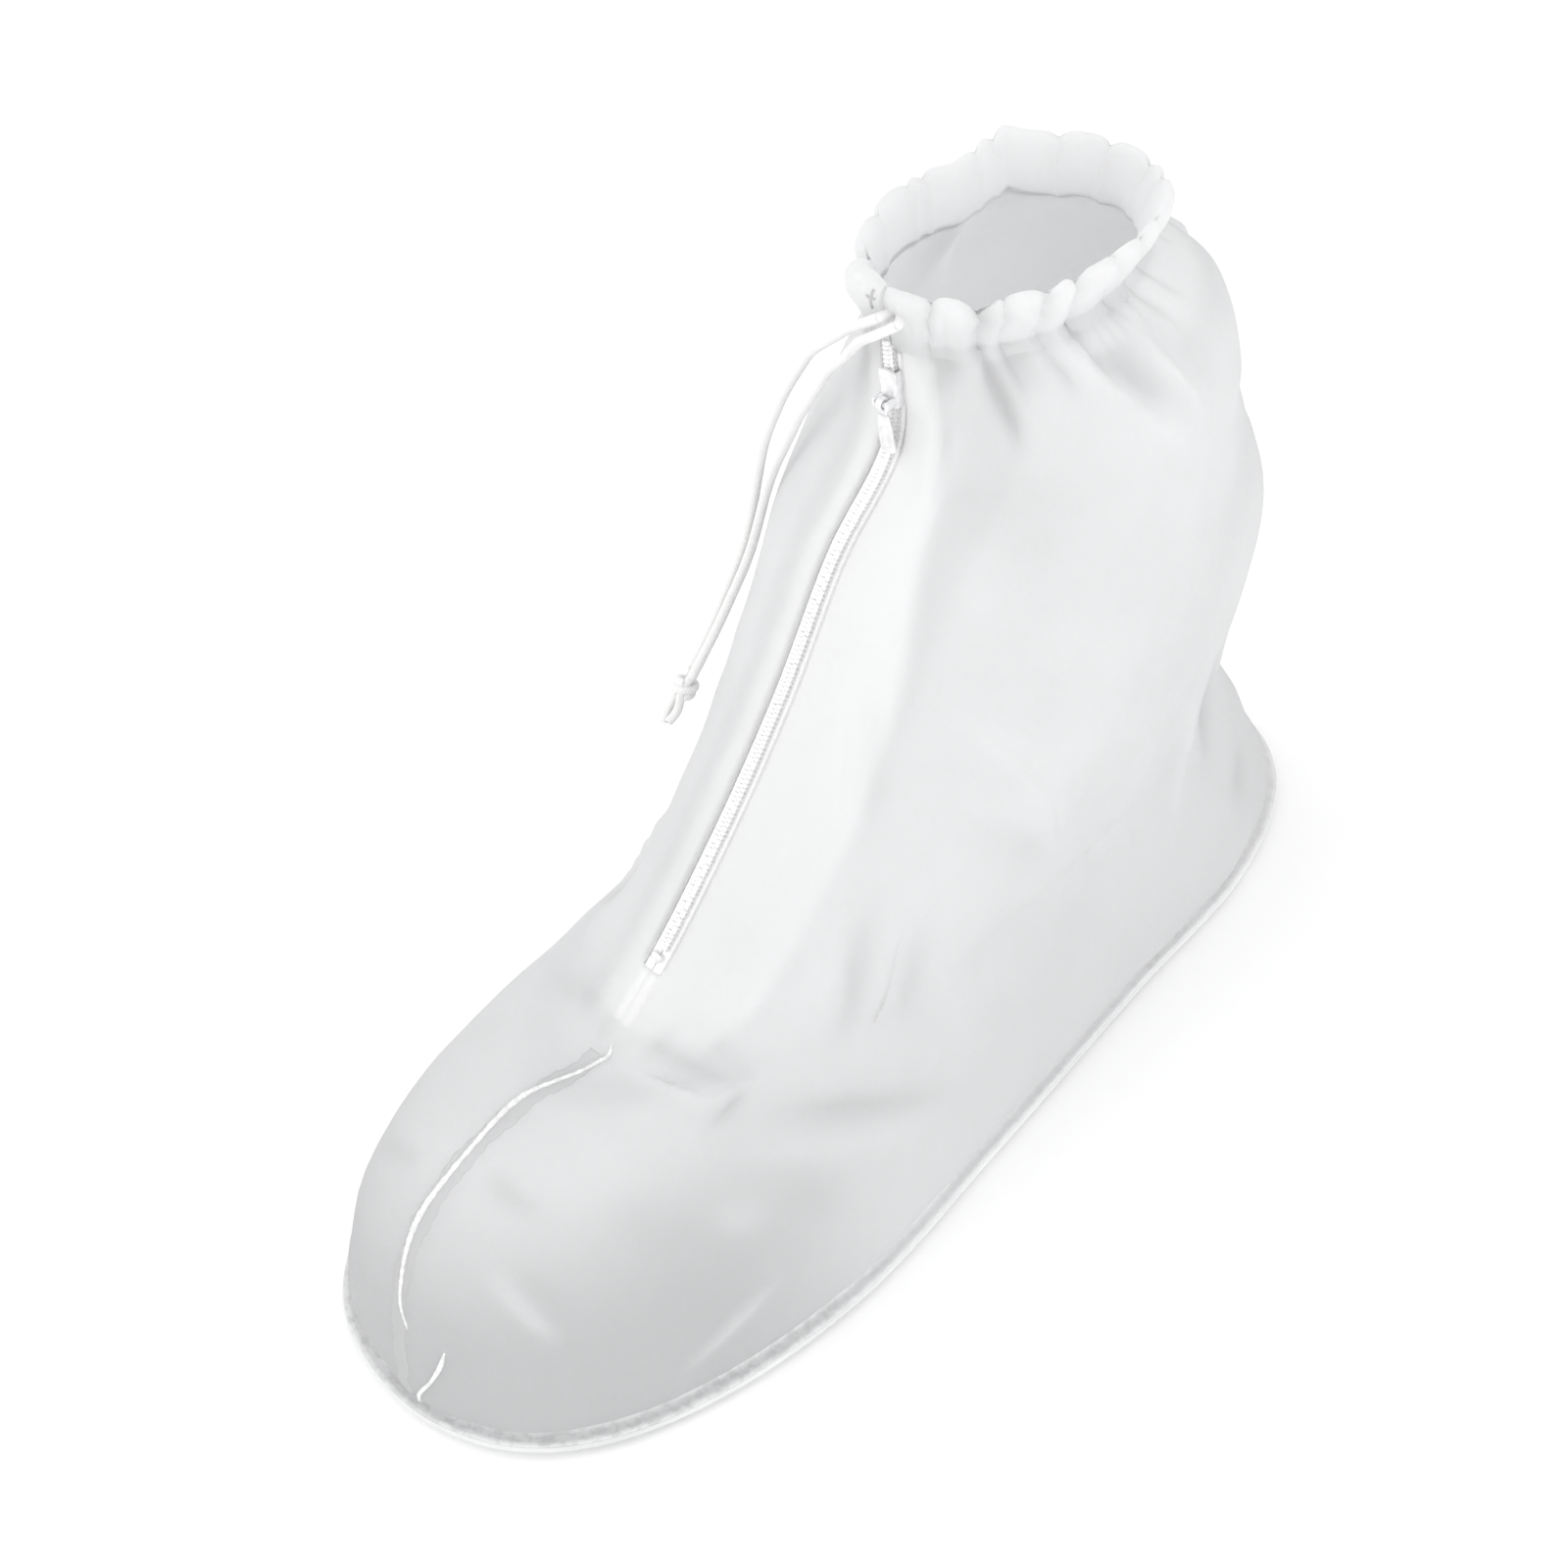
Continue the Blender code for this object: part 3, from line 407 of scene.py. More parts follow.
def fold_line(fold):
    """Places of a fold's line: a parabola through the table's three places, laid on the smooth film."""
    t = np.linspace(0, 1, FOLD_STEPS)
    a, b, c = (1 - t) * (1 - 2 * t), 4 * t * (1 - t), t * (2 * t - 1)
    turn = a * fold.turn_a + b * fold.turn_b + c * fold.turn_c
    level = a * fold.level_a + b * fold.level_b + c * fold.level_c
    return film_base(turn, level)


def fold_height(points):
    """Sum of the table's folds, and the same sum with narrow folds counted more, for the film's painted
    highlight on ridges and painted shade in troughs.
    Across its line a fold is a bell, or an exponential crest where it is sharp. It fades towards its
    ends."""
    total, painted_shading = np.zeros(len(points)), np.zeros(len(points))
    for fold in (*FOLDS, *gather_folds(), *stitched_pleats()):
        line = fold_line(fold)
        width = MM * fold.width
        reach = FOLD_REACH * width
        near = ((points > line.min(0) - reach) & (points < line.max(0) + reach)).all(axis=1)
        gap, share = line_distance(points[near], line)
        gap = gap / width
        bell = np.exp(-(gap**2))
        crest = np.exp(-1.5 * np.sqrt(gap**2 + 0.01))
        fade = smoothstep(0, HEM_FADE, 1 - share)
        if fold.level_a < TOP:
            fade = smoothstep(0, END_FADE, share) * smoothstep(0, END_FADE, 1 - share)
        height = MM * fold.height * fade * ((1 - fold.sharp) * bell + fold.sharp * crest)
        total[near] += height
        painted_shading[near] += height * min(MOST_SHADING, NARROW_FOLD / fold.width)
    return total, painted_shading


def gather_shape(turn):
    """Casing's gathers by turn, in millimetres: a swell that is a sine arch between two pinches, and a
    notch that falls off evenly to both sides of a pinch."""
    turn = np.mod(turn, 2)
    starts, _, swells = np.array(GATHERS).T
    number = np.clip(np.searchsorted(starts, turn, side="right") - 1, 0, len(GATHERS) - 2)
    share = (turn - starts[number]) / (starts[number + 1] - starts[number])
    swell = swells[number] * np.sin(np.pi * np.clip(share, 0, 1)) ** 0.6
    notch = np.zeros_like(turn)
    for gather in GATHERS:
        reach = np.abs(turn - gather.turn) / (0.010 + 0.004 * gather.notch)
        notch = np.maximum(notch, gather.notch * np.exp(-(reach**1.3)))
    return swell, notch


def gather_folds():
    """A trough in the film below each pinch of the casing, longer and deeper below a deeper notch."""
    folds = []
    for gather in GATHERS[1:-1]:
        turn = gather.turn - 2 if gather.turn > 1 else gather.turn
        slant = 0.020 * math.sin(40 * gather.turn)
        length = 0.35 + 0.16 * gather.notch
        places = (turn, TOP, turn + 0.4 * slant, TOP - length / 2, turn + slant, TOP - length)
        folds.append(Fold("gather", *places, 1.3 + 0.2 * gather.notch, -0.25 - 0.35 * gather.notch, 0.5))
    return folds


def stitched_pleats():
    """A short slanted ridge in the film for each stitched pleat, evenly spread along the row."""
    folds = []
    for turn in np.linspace(*STITCH_TURNS, STITCH_COUNT):
        places = [(turn - STITCH_SLANT * number, TOP - drop) for number, drop in enumerate(STITCH_DROPS)]
        folds.append(Fold("pleat", *places[0], *places[1], *places[2], 1.2, 0.9, 0.6))
    return folds


def film_lift(turn, level, points, sizes):
    """Height of the real film over the smooth one: folds, gathers under the casing, a bulge over the welded
    rim and small waves; and its painted shading, a painted highlight on ridges and puffs and painted shade
    in troughs, from the folds and pleats. Both are zero along the zip and at the rim."""
    height, painted_shading = fold_height(points)
    swell, _ = gather_shape(turn)
    pleat = sizes.pleat_height * (swell - 0.5) * np.exp(-(TOP - level) / PLEAT_LEVELS)
    bulge = WALL_BULGE * smoothstep(WELD, WELD + 0.4, level) * smoothstep(WELD + 2.2, WELD + 0.6, level)
    x, y, z = points.T
    waves = np.sin(95 * x + 60 * z + 3 * np.sin(40 * y)) * np.sin(70 * y - 85 * z + 2.5 * np.sin(60 * x))
    waves += 0.6 * np.sin(190 * x - 120 * y + 2 * np.sin(110 * z)) * np.sin(150 * z + 90 * y)
    height = sizes.fold_strength * (height + WAVE_HEIGHT * waves) + pleat + bulge
    guard = np.where(level < ZIP_FOOT + 0.4, FOOT_GUARD, SLIT_HALF * 3)
    from_slit = smoothstep(SLIT_HALF, guard, front_reach(turn, level))
    by_zip = smoothstep(ZIP_FOOT - 0.8, ZIP_FOOT - 0.5, level)
    keep = (1 - by_zip * (1 - from_slit)) * smoothstep(WELD, WELD + 0.5, level)
    return height * keep, (painted_shading + 0.5 * pleat) * keep


def film_point(turn, level, sizes, lift=0.0):
    """The real film: the smooth film moved along its normal by its folds and an extra lift."""
    shape = np.broadcast(turn, level).shape
    turn, level = (np.broadcast_to(v, shape).ravel().astype(float) for v in (turn, level))
    points = film_base(turn, level)
    height = film_lift(turn, level, points, sizes)[0] + lift
    return (points + height[:, None] * film_normal(turn, level)).reshape(*shape, 3)


def sole_ring(inset, height, turns):
    """Ring of the sole's outline, drawn in by inset and set at a height."""
    y = (SOLE_LENGTH / 2 - inset) * -np.cos(np.pi * turns)
    x = np.sign(turns) * (BALL_WIDTH / 2 - inset) * outline_share(turns)
    return np.stack([x + toe_in(y), y, height + toe_spring(y)], axis=-1)


def tube_frame(path):
    """Unit tangent and two unit normals along a path, turned as little as possible from point to point."""
    tangent = np.gradient(path, axis=0)
    tangent /= np.linalg.norm(tangent, axis=1, keepdims=True)
    normal = np.zeros_like(path)
    guess = np.cross(tangent[0], [0.3, 0.5, 0.8])
    for number, way in enumerate(tangent):
        guess = guess - (guess @ way) * way
        guess = guess / np.linalg.norm(guess)
        normal[number] = guess
    return tangent, normal, np.cross(tangent, normal)


def tube(path, radius, angles):
    """Ring of points at each place of a path: centre plus radius times cosine and sine of the normals."""
    _, first, second = tube_frame(path)
    radius = np.broadcast_to(radius, len(path))[:, None, None]
    ring = np.cos(angles)[None, :, None] * first[:, None] + np.sin(angles)[None, :, None] * second[:, None]
    return path[:, None] + radius * ring


def capped(rings):
    """Rings with both ends drawn to their middles, which closes the shape."""
    ends = [np.broadcast_to(ring.mean(0), ring.shape)[None] for ring in (rings[0], rings[-1])]
    return np.concatenate([ends[0], rings, ends[1]])


def bar_rings(rows, middle, half_height, sides=20, square=5.0):
    """Bar along Y: each row gives its place and half width. Its section is a rounded rectangle, a
    superellipse around a middle height."""
    angle = around(sides)
    across = np.sign(np.cos(angle)) * np.abs(np.cos(angle)) ** (2 / square)
    rise = np.sign(np.sin(angle)) * np.abs(np.sin(angle)) ** (2 / square)
    y, half_width = np.array(rows, float).T[..., None]
    ring = np.stack(np.broadcast_arrays(half_width * across, y, middle + half_height * rise), axis=-1)
    return capped(ring)


def eased_bar(half, ease, width, end_width, middle, half_height):
    """Bar along Y that is narrower from a share of its half length to its ends."""
    rows = [(-half, end_width), (-ease * half, width), (ease * half, width), (half, end_width)]
    return bar_rings(rows, middle, half_height)


def rod_rings(radius, half, sides=20):
    """Rod along X with rounded rims."""
    angle = around(sides)
    x = np.array([-half, -half, half, half])[:, None]
    size = radius * np.array([0.75, 1.0, 1.0, 0.75])[:, None]
    ring = np.stack(np.broadcast_arrays(x, size * np.cos(angle), size * np.sin(angle)), axis=-1)
    return capped(ring)


def zip_line(levels):
    """Points, tangents, outward normals and sideways directions along the zip's line."""
    zero = np.zeros_like(levels)
    points = film_base(zero, levels)
    normal = film_normal(zero, levels)
    tangent = np.gradient(points, axis=0)
    tangent -= (tangent * normal).sum(1, keepdims=True) * normal
    tangent /= np.linalg.norm(tangent, axis=1, keepdims=True)
    return points, tangent, normal, np.cross(tangent, normal)


def zip_matrix(level):
    """Frame on the zip's line: X across the zip, Y up along it and Z out of the film."""
    points, tangent, normal, across = (array[1] for array in zip_line(np.array([-0.02, 0.0, 0.02]) + level))
    matrix = np.eye(4)
    matrix[:3] = np.stack([across, tangent, normal, points], axis=1)
    return matrix


def placed(points, matrix):
    """Points of a local frame in the object's frame."""
    matrix = np.array(matrix)
    return points @ matrix[:3, :3].T + matrix[:3, 3]


# Mesh helpers

def grid_quads(rows, columns, closed=False):
    """Corner numbers of the faces of a grid of points. closed joins the last column to the first."""
    cells = columns if closed else columns - 1
    row, column = np.meshgrid(np.arange(rows - 1), np.arange(cells), indexing="ij")
    low, high = row * columns, (row + 1) * columns
    after = (column + 1) % columns
    return np.stack((low + column, low + after, high + after, high + column), axis=-1).reshape(-1, 4)


def mesh_from_arrays(name, points, quads, uv=None):
    """Smooth-shaded mesh from arrays of points and quads, without points that no face uses."""
    used, quads = np.unique(quads, return_inverse=True)
    quads = quads.reshape(-1, 4)
    points = points.reshape(-1, 3)[used]
    mesh = bpy.data.meshes.new(name)
    mesh.vertices.add(len(points))
    mesh.vertices.foreach_set("co", points.ravel())
    mesh.loops.add(quads.size)
    mesh.loops.foreach_set("vertex_index", quads.ravel())
    mesh.polygons.add(len(quads))
    mesh.polygons.foreach_set("loop_start", np.arange(len(quads)) * 4)
    if uv is not None:
        layer = mesh.uv_layers.new(name="UVMap")
        layer.data.foreach_set("uv", uv.reshape(-1, 2)[used][quads.ravel()].ravel())
    mesh.update(calc_edges=True)
    mesh.validate()
    mesh.shade_smooth()
    return mesh, used


def turn_outwards(mesh):
    """Merges doubled points and turns the faces outwards."""
    shape = bmesh.new()
    shape.from_mesh(mesh)
    bmesh.ops.remove_doubles(shape, verts=shape.verts, dist=1e-7)
    bmesh.ops.recalc_face_normals(shape, faces=shape.faces)
    shape.to_mesh(mesh)
    shape.free()


def joined_mesh(name, shapes, painted_shading=None):
    """One mesh of several closed shapes, each a grid of rings. painted_shading has a value for each point,
    the painted highlight and shade that the finish reads as crease.
    """
    points, quads, start = [], [], 0
    for rings in shapes:
        points.append(rings.reshape(-1, 3))
        quads.append(grid_quads(*rings.shape[:2], closed=True) + start)
        start += len(points[-1])
    mesh, used = mesh_from_arrays(name, np.concatenate(points), np.concatenate(quads))
    if painted_shading is not None:
        set_attribute(mesh, "crease", painted_shading.ravel()[used])
    turn_outwards(mesh)
    return mesh


def band_mesh(name, turns, levels, low, high, sizes):
    """Closed band over the film between two heights: a strip of its surface with a thickness. V of its UV
    map runs along it in metres."""
    levels = np.broadcast_to(levels[:, None], turns.shape)
    surface, normal = film_point(turns, levels, sizes), film_normal(turns, levels)
    top, bottom = (surface + np.broadcast_to(lift, turns.shape)[..., None] * normal for lift in (high, low))
    rings = capped(np.concatenate([top, bottom[:, ::-1]], axis=1))
    rows, columns = rings.shape[:2]
    around_band = np.arange(columns) / columns * 0.02
    along = running_length(rings[:, columns // 4])
    uv = np.stack(np.broadcast_arrays(around_band[None], along[:, None]), axis=-1)
    mesh, _ = mesh_from_arrays(name, rings, grid_quads(rows, columns, closed=True), uv)
    turn_outwards(mesh)
    return mesh


def add_piece(name, mesh, finish, replaces=(), body=COVER):
    """Object at the origin with a finish, which rides on a body and stands for the solids that it covers."""
    made = bpy.data.objects.new(name, mesh)
    bpy.context.scene.collection.objects.link(made)
    mesh.materials.append(finish_for(finish))
    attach(made, body)
    if replaces:
        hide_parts(*replaces)
    return made


def set_attribute(mesh, name, values):
    """Number for each point, which a finish can read."""
    layer = mesh.attributes.new(name, "FLOAT", "POINT")
    layer.data.foreach_set("value", np.ascontiguousarray(values, dtype=np.float32))


# Finishes. Scales of noise are per metre, and distances of bumps are in metres.

class Value:
    """A shader socket that carries a number. Arithmetic on it adds Math nodes."""

    def __init__(self, finish, socket):
        self.finish, self.socket = finish, socket

    def math(self, operation, first, second=0.0, clamp=False):
        settings = {"operation": operation, "use_clamp": clamp}
        return self.finish.value("ShaderNodeMath", settings, {0: first, 1: second})

    def __add__(self, other):
        return self.math("ADD", self, other)

    def __sub__(self, other):
        return self.math("SUBTRACT", self, other)

    def __rsub__(self, other):
        return self.math("SUBTRACT", other, self)

    def __mul__(self, other):
        return self.math("MULTIPLY", self, other)

    __radd__ = __add__
    __rmul__ = __mul__

    def clamped(self):
        return self.math("ADD", self, 0.0, clamp=True)

    def between(self, low, high):
        """0 below low and 1 above high, evenly between."""
        settings = {"clamp": True}
        inputs = {"Value": self, "From Min": low, "From Max": high}
        return self.finish.value("ShaderNodeMapRange", settings, inputs)


class Finish:
    """A node material, put together by expressions."""

    def __init__(self, name):
        self.material = bpy.data.materials.new(name)
        self.material.use_nodes = True
        self.tree = self.material.node_tree
        self.tree.nodes.clear()

    def node(self, kind, settings=None, inputs=None):
        """Adds a node, sets its settings first and then its sockets, by value or by link."""
        made = self.tree.nodes.new(kind)
        for key, value in (settings or {}).items():
            setattr(made, key, value)
        for key, value in (inputs or {}).items():
            if isinstance(value, Value):
                value = value.socket
            if isinstance(value, bpy.types.NodeSocket):
                self.tree.links.new(value, made.inputs[key])
            else:
                made.inputs[key].default_value = value
        return made

    def value(self, kind, settings=None, inputs=None, output=0):
        return Value(self, self.node(kind, settings, inputs).outputs[output])

    def place(self, kind="Object"):
        """Texture coordinates in the object's own metres, or its UV map."""
        return self.node("ShaderNodeTexCoord").outputs[kind]

    def stretched(self, vector, scale):
        return self.node("ShaderNodeMapping", None, {"Vector": vector, "Scale": scale}).outputs[0]

    def noise(self, scale, detail=2.0, rough=0.5, vector=None, distortion=0.0):
        inputs = {"Scale": scale, "Detail": detail, "Roughness": rough, "Distortion": distortion}
        inputs["Vector"] = self.place() if vector is None else vector
        return self.value("ShaderNodeTexNoise", None, inputs)

    def wave(self, vector, scale, direction):
        settings = {"wave_type": "BANDS", "bands_direction": direction}
        return self.value("ShaderNodeTexWave", settings, {"Vector": vector, "Scale": scale})

    def attribute(self, name):
        return self.value("ShaderNodeAttribute", {"attribute_name": name}, None, "Fac")

    def mix(self, factor, first, second):
        """Colour between two colours."""
        made = self.node("ShaderNodeMix", {"data_type": "RGBA"}, {"Factor": factor})
        for socket, colour in zip([s for s in made.inputs if s.type == "RGBA"], (first, second)):
            if isinstance(colour, bpy.types.NodeSocket):
                self.tree.links.new(colour, socket)
            else:
                socket.default_value = (*colour, 1.0)
        return [s for s in made.outputs if s.type == "RGBA"][0]

    def bump(self, height, distance, strength=1.0, normal=None):
        inputs = {"Height": height, "Distance": distance, "Strength": strength}
        if normal is not None:
            inputs["Normal"] = normal
        return self.node("ShaderNodeBump", None, inputs).outputs[0]

    def principled(self, **sockets):
        """Principled shader. An underline in a socket's name stands for a space."""
        inputs = {key.replace("_", " "): value for key, value in sockets.items()}
        return self.node("ShaderNodeBsdfPrincipled", None, inputs).outputs[0]

    def done(self, shader):
        self.node("ShaderNodeOutputMaterial", None, {"Surface": shader})
        return self.material


def toned(colour, share, most=1.0):
    """Colour made darker or paler by a share, and no brighter than most."""
    return tuple(min(most, channel * share) for channel in colour)


def film_finish(colours):
    """Frosted film: fine grain and soft crinkles, with a painted highlight on ridges and painted shade in
    troughs, paler where the flap backs it, paler at the back of the collar where the casing's hem backs it
    and as painted light, painted light over the rim in its crevice, and painted shade low down over the toe.
    Part of the light passes through, less where the film is backed and where its rim lies on the sole."""
    made = Finish("frosted_film")
    grain = made.noise(2600.0, 3.0, 0.6)
    crinkle = made.noise(85.0, 4.0, 0.55, distortion=0.6)
    cloud = made.noise(22.0, 3.0, 0.5)
    crimp = made.noise(420.0, 2.0, 0.5)
    crease, backing_and_light, rim, low = (made.attribute(name) for name in ("crease", "backing_and_light", "rim", "low"))
    base = colours.film
    white = toned(base, 1.05, 0.97)
    colour = made.mix(cloud.between(0.35, 0.70), toned(base, 0.94), base)
    # Painted shade low down and over the toe, from the low attribute
    colour = made.mix(low, colour, toned(base, 0.68))
    # Painted highlight on ridges and puffs, painted shade in troughs and notches
    colour = made.mix((0.6 * crease).clamped(), colour, white)
    colour = made.mix((-0.8 * crease).clamped(), colour, toned(base, 0.70))
    # Paler where the flap backs the film, and at the back of the collar partly as painted light
    colour = made.mix(backing_and_light.clamped(), colour, white)
    # Painted light over the rim, which lies in a shaded crevice under the bulge, broken by crimp ticks
    colour = made.mix((rim * (0.9 - 0.5 * crimp.between(0.45, 0.60))).clamped(), colour, white)
    normal = made.bump(crinkle, 0.0011, 0.55)
    normal = made.bump(grain, 0.00006, 0.5, normal)
    front = made.principled(Base_Color=colour, Roughness=0.36 + 0.16 * crinkle, Normal=normal, IOR=1.46)
    light = {"Color": (*base, 1.0), "Normal": normal}
    behind = made.node("ShaderNodeBsdfTranslucent", None, light).outputs[0]
    through = 0.58 - 0.32 * rim - 0.16 * backing_and_light.clamped() + 0.06 * low
    both = made.node("ShaderNodeMixShader", None, {0: through, 1: front, 2: behind}).outputs[0]
    return made.done(both)


def bead_finish(colours):
    """Melted edge of the film: clear, glossy and bright."""
    made = Finish("melted_bead")
    streak = made.noise(600.0, 3.0, 0.6)
    colour = made.mix(streak.between(0.4, 0.7), toned(colours.film, 0.78), colours.film)
    normal = made.bump(streak, 0.0002, 0.5)
    return made.done(made.principled(Base_Color=colour, Roughness=0.30 + 0.15 * streak, Normal=normal))


def sole_finish(colours):
    """Moulded soft plastic: satin, with a faint pebble and a cloudy tone."""
    made = Finish("moulded_sole")
    pebble = made.noise(900.0, 2.0, 0.5)
    cloud = made.noise(30.0, 3.0, 0.5)
    colour = made.mix(cloud.between(0.3, 0.7), toned(colours.sole, 0.86), colours.sole)
    normal = made.bump(pebble, 0.0002, 0.4)
    return made.done(made.principled(Base_Color=colour, Roughness=0.34 + 0.14 * cloud, Normal=normal))


def tape_finish(colours):
    """Woven tape: fine ribs along and across the zip, on the strip's own UV map."""
    made = Finish("woven_tape")
    place = made.place("UV")
    weave = made.wave(place, 330.0, "Y") * 0.6 + made.wave(place, 420.0, "X") * 0.4
    colour = made.mix(weave, toned(colours.tape, 0.95), colours.tape)
    normal = made.bump(weave, 0.00012, 0.7)
    return made.done(made.principled(Base_Color=colour, Roughness=0.78 - 0.1 * weave, Normal=normal))


def coil_finish(colours):
    """Moulded coil: pale and slightly glossy."""
    made = Finish("zip_coil")
    cloud = made.noise(700.0, 2.0)
    colour = made.mix(cloud, toned(colours.tape, 0.94), colours.tape)
    return made.done(made.principled(Base_Color=colour, Roughness=0.30 + 0.15 * cloud))


def metal_finish(colours):
    """Plated zip metal: bright, with fine rub marks and darker handled patches."""
    made = Finish("zip_metal")
    rub = made.noise(1500.0, 3.0, 0.6, made.stretched(made.place(), (1.0, 1.0, 0.12)))
    worn = made.noise(240.0, 3.0)
    colour = made.mix(worn.between(0.35, 0.7), toned(colours.metal, 0.8), colours.metal)
    normal = made.bump(rub, 0.00004, 0.5)
    shader = made.principled(Base_Color=colour, Roughness=0.22 + 0.22 * rub, Metallic=0.45, Normal=normal)
    return made.done(shader)


def cord_finish(colours):
    """Braided cord: slanting strands on the tube's UV map, with painted shade in the grooves between
    strands, and fine fibres.
    """
    made = Finish("braided_cord")
    strand = made.wave(made.place("UV"), 3.2, "DIAGONAL")
    fibre = made.noise(3000.0, 2.0)
    # Painted shade in the grooves between the strands
    colour = made.mix(strand, toned(colours.cord, 0.80), colours.cord)
    normal = made.bump(strand * 0.8 + fibre * 0.2, 0.00018, 0.6)
    return made.done(made.principled(Base_Color=colour, Roughness=0.72 + 0.1 * fibre, Normal=normal))


def thread_finish(colours):
    """Sewing thread: grey, with fine fibres."""
    made = Finish("sewing_thread")
    fibre = made.noise(3000.0, 2.0)
    colour = made.mix(fibre, toned(colours.cord, 0.42), (0.55, 0.55, 0.55))
    return made.done(made.principled(Base_Color=colour, Roughness=0.75 + 0.1 * fibre))


def floor_finish():
    """Pale matt floor with a faint tone."""
    made = Finish("pale_floor")
    cloud = made.noise(3.0, 2.0)
    colour = made.mix(cloud, (0.97, 0.97, 0.97), (0.98, 0.98, 0.98))
    return made.done(made.principled(Base_Color=colour, Roughness=0.85 + 0.05 * cloud))


# Maker of each finish, and the slot of the record that it belongs to
FinishRow = namedtuple("FinishRow", "maker slot")
FINISHES = {
    "film": FinishRow(film_finish, "film"),
    "bead": FinishRow(bead_finish, "film"),
    "sole": FinishRow(sole_finish, "sole_plastic"),
    "tape": FinishRow(tape_finish, "zip_tape"),
    "coil": FinishRow(coil_finish, "zip_coil"),
    "metal": FinishRow(metal_finish, "zip_metal"),
    "cord": FinishRow(cord_finish, "cord"),
    "thread": FinishRow(thread_finish, "cord"),
}
MADE_FINISHES = {}


def finish_for(name):
    """The finish of that name, made once."""
    if name not in MADE_FINISHES:
        MADE_FINISHES[name] = FINISHES[name].maker(bpy.context.scene.cover_colours)
    return MADE_FINISHES[name]


class PieceOperator(bpy.types.Operator):
    """Base of the operators that make the cover's pieces."""

    bl_options = {"REGISTER"}

    def execute(self, context):
        self.make(context.scene.cover_sizes)
        return {"FINISHED"}


# Pieces, each with its sizes, its operator and its shapes

# Film upper: cells of its mesh across the slit and round each side, and its rows
FRONT_CELLS = 8
OUTER_CELLS = 180
INNER_CELLS = 62
RIM_ROWS = 5
FILM_ROWS = 188
# Band of film that the flap backs: its reach to both sides of the zip, what is added to the outer reach, and
# the share of its strength at the foot of the zip
BACKING_OUTER = 0.0240
BACKING_INNER = -0.0065
BACKING_ADDED = 0.004
BACKING_FOOT = 0.65
# Film at the back of the collar, paler partly because the casing's hem backs it and partly as painted light
HEM_TURNS = (0.56, 0.66)
HEM_LEVELS = (TOP - 0.75, TOP - 0.45)
HEM_SHARE = 0.7
# Painted shade on the film low over the toe: heights and places between which it starts, and its share
# further back
SHADE_HEIGHTS = (0.098, 0.038)
SHADE_PLACES = (-0.03, -0.10)
SHADE_LEAST = 0.15


def film_grid():
    """Levels and turns of the film's mesh: a few columns across the zip's slit, then round both sides, finer
    on the outer side, which has more folds."""
    levels = np.concatenate([np.linspace(0, WELD, RIM_ROWS)[:-1], np.linspace(WELD, TOP, FILM_ROWS)])
    nearest = np.argmin(np.abs(levels - ZIP_FOOT))
    levels[nearest] = ZIP_FOOT
    slit = turn_at(SLIT_HALF, levels)[:, None]
    front = slit * np.linspace(-1, 1, FRONT_CELLS + 1)[None]
    outer = slit + (1 - slit) * np.linspace(0, 1, OUTER_CELLS + 1)[None]
    inner = slit + (1 - slit) * np.linspace(0, 1, INNER_CELLS + 1)[None]
    turns = np.concatenate([front, outer[:, 1:], -inner[:, -2:0:-1]], axis=1)
    return np.broadcast_to(levels[:, None], turns.shape), turns


def backing_mask(turn, level):
    """Where the film is backed: by the flap, in a band along the zip that is wider on the outer side and
    weaker towards the zip's foot, and by the casing's hem at the back, where the paler film is partly
    painted light."""
    reach = np.where(turn >= 0, 1, -1) * front_reach(turn, level)
    widest = BACKING_OUTER * smoothstep(TOP + 1.0, TOP - 4.0, level) + BACKING_ADDED
    outer = 1 - smoothstep(widest - 0.003, widest + 0.002, reach)
    inner = smoothstep(BACKING_INNER - 0.003, BACKING_INNER + 0.001, reach)
    ragged = 0.08 * np.sin(420 * reach) + 0.04 * np.sin(900 * reach + 1)
    lower = smoothstep(ZIP_FOOT - 0.95, ZIP_FOOT - 0.40, level + ragged)
    strength = BACKING_FOOT + (1 - BACKING_FOOT) * smoothstep(ZIP_FOOT, ZIP_FOOT + 4.0, level)
    # Paler film at the back of the collar: the hem's backing and painted light
    hem = HEM_SHARE * smoothstep(*HEM_TURNS, np.abs(turn)) * smoothstep(*HEM_LEVELS, level)
    return np.maximum(outer * inner * lower * strength, hem)


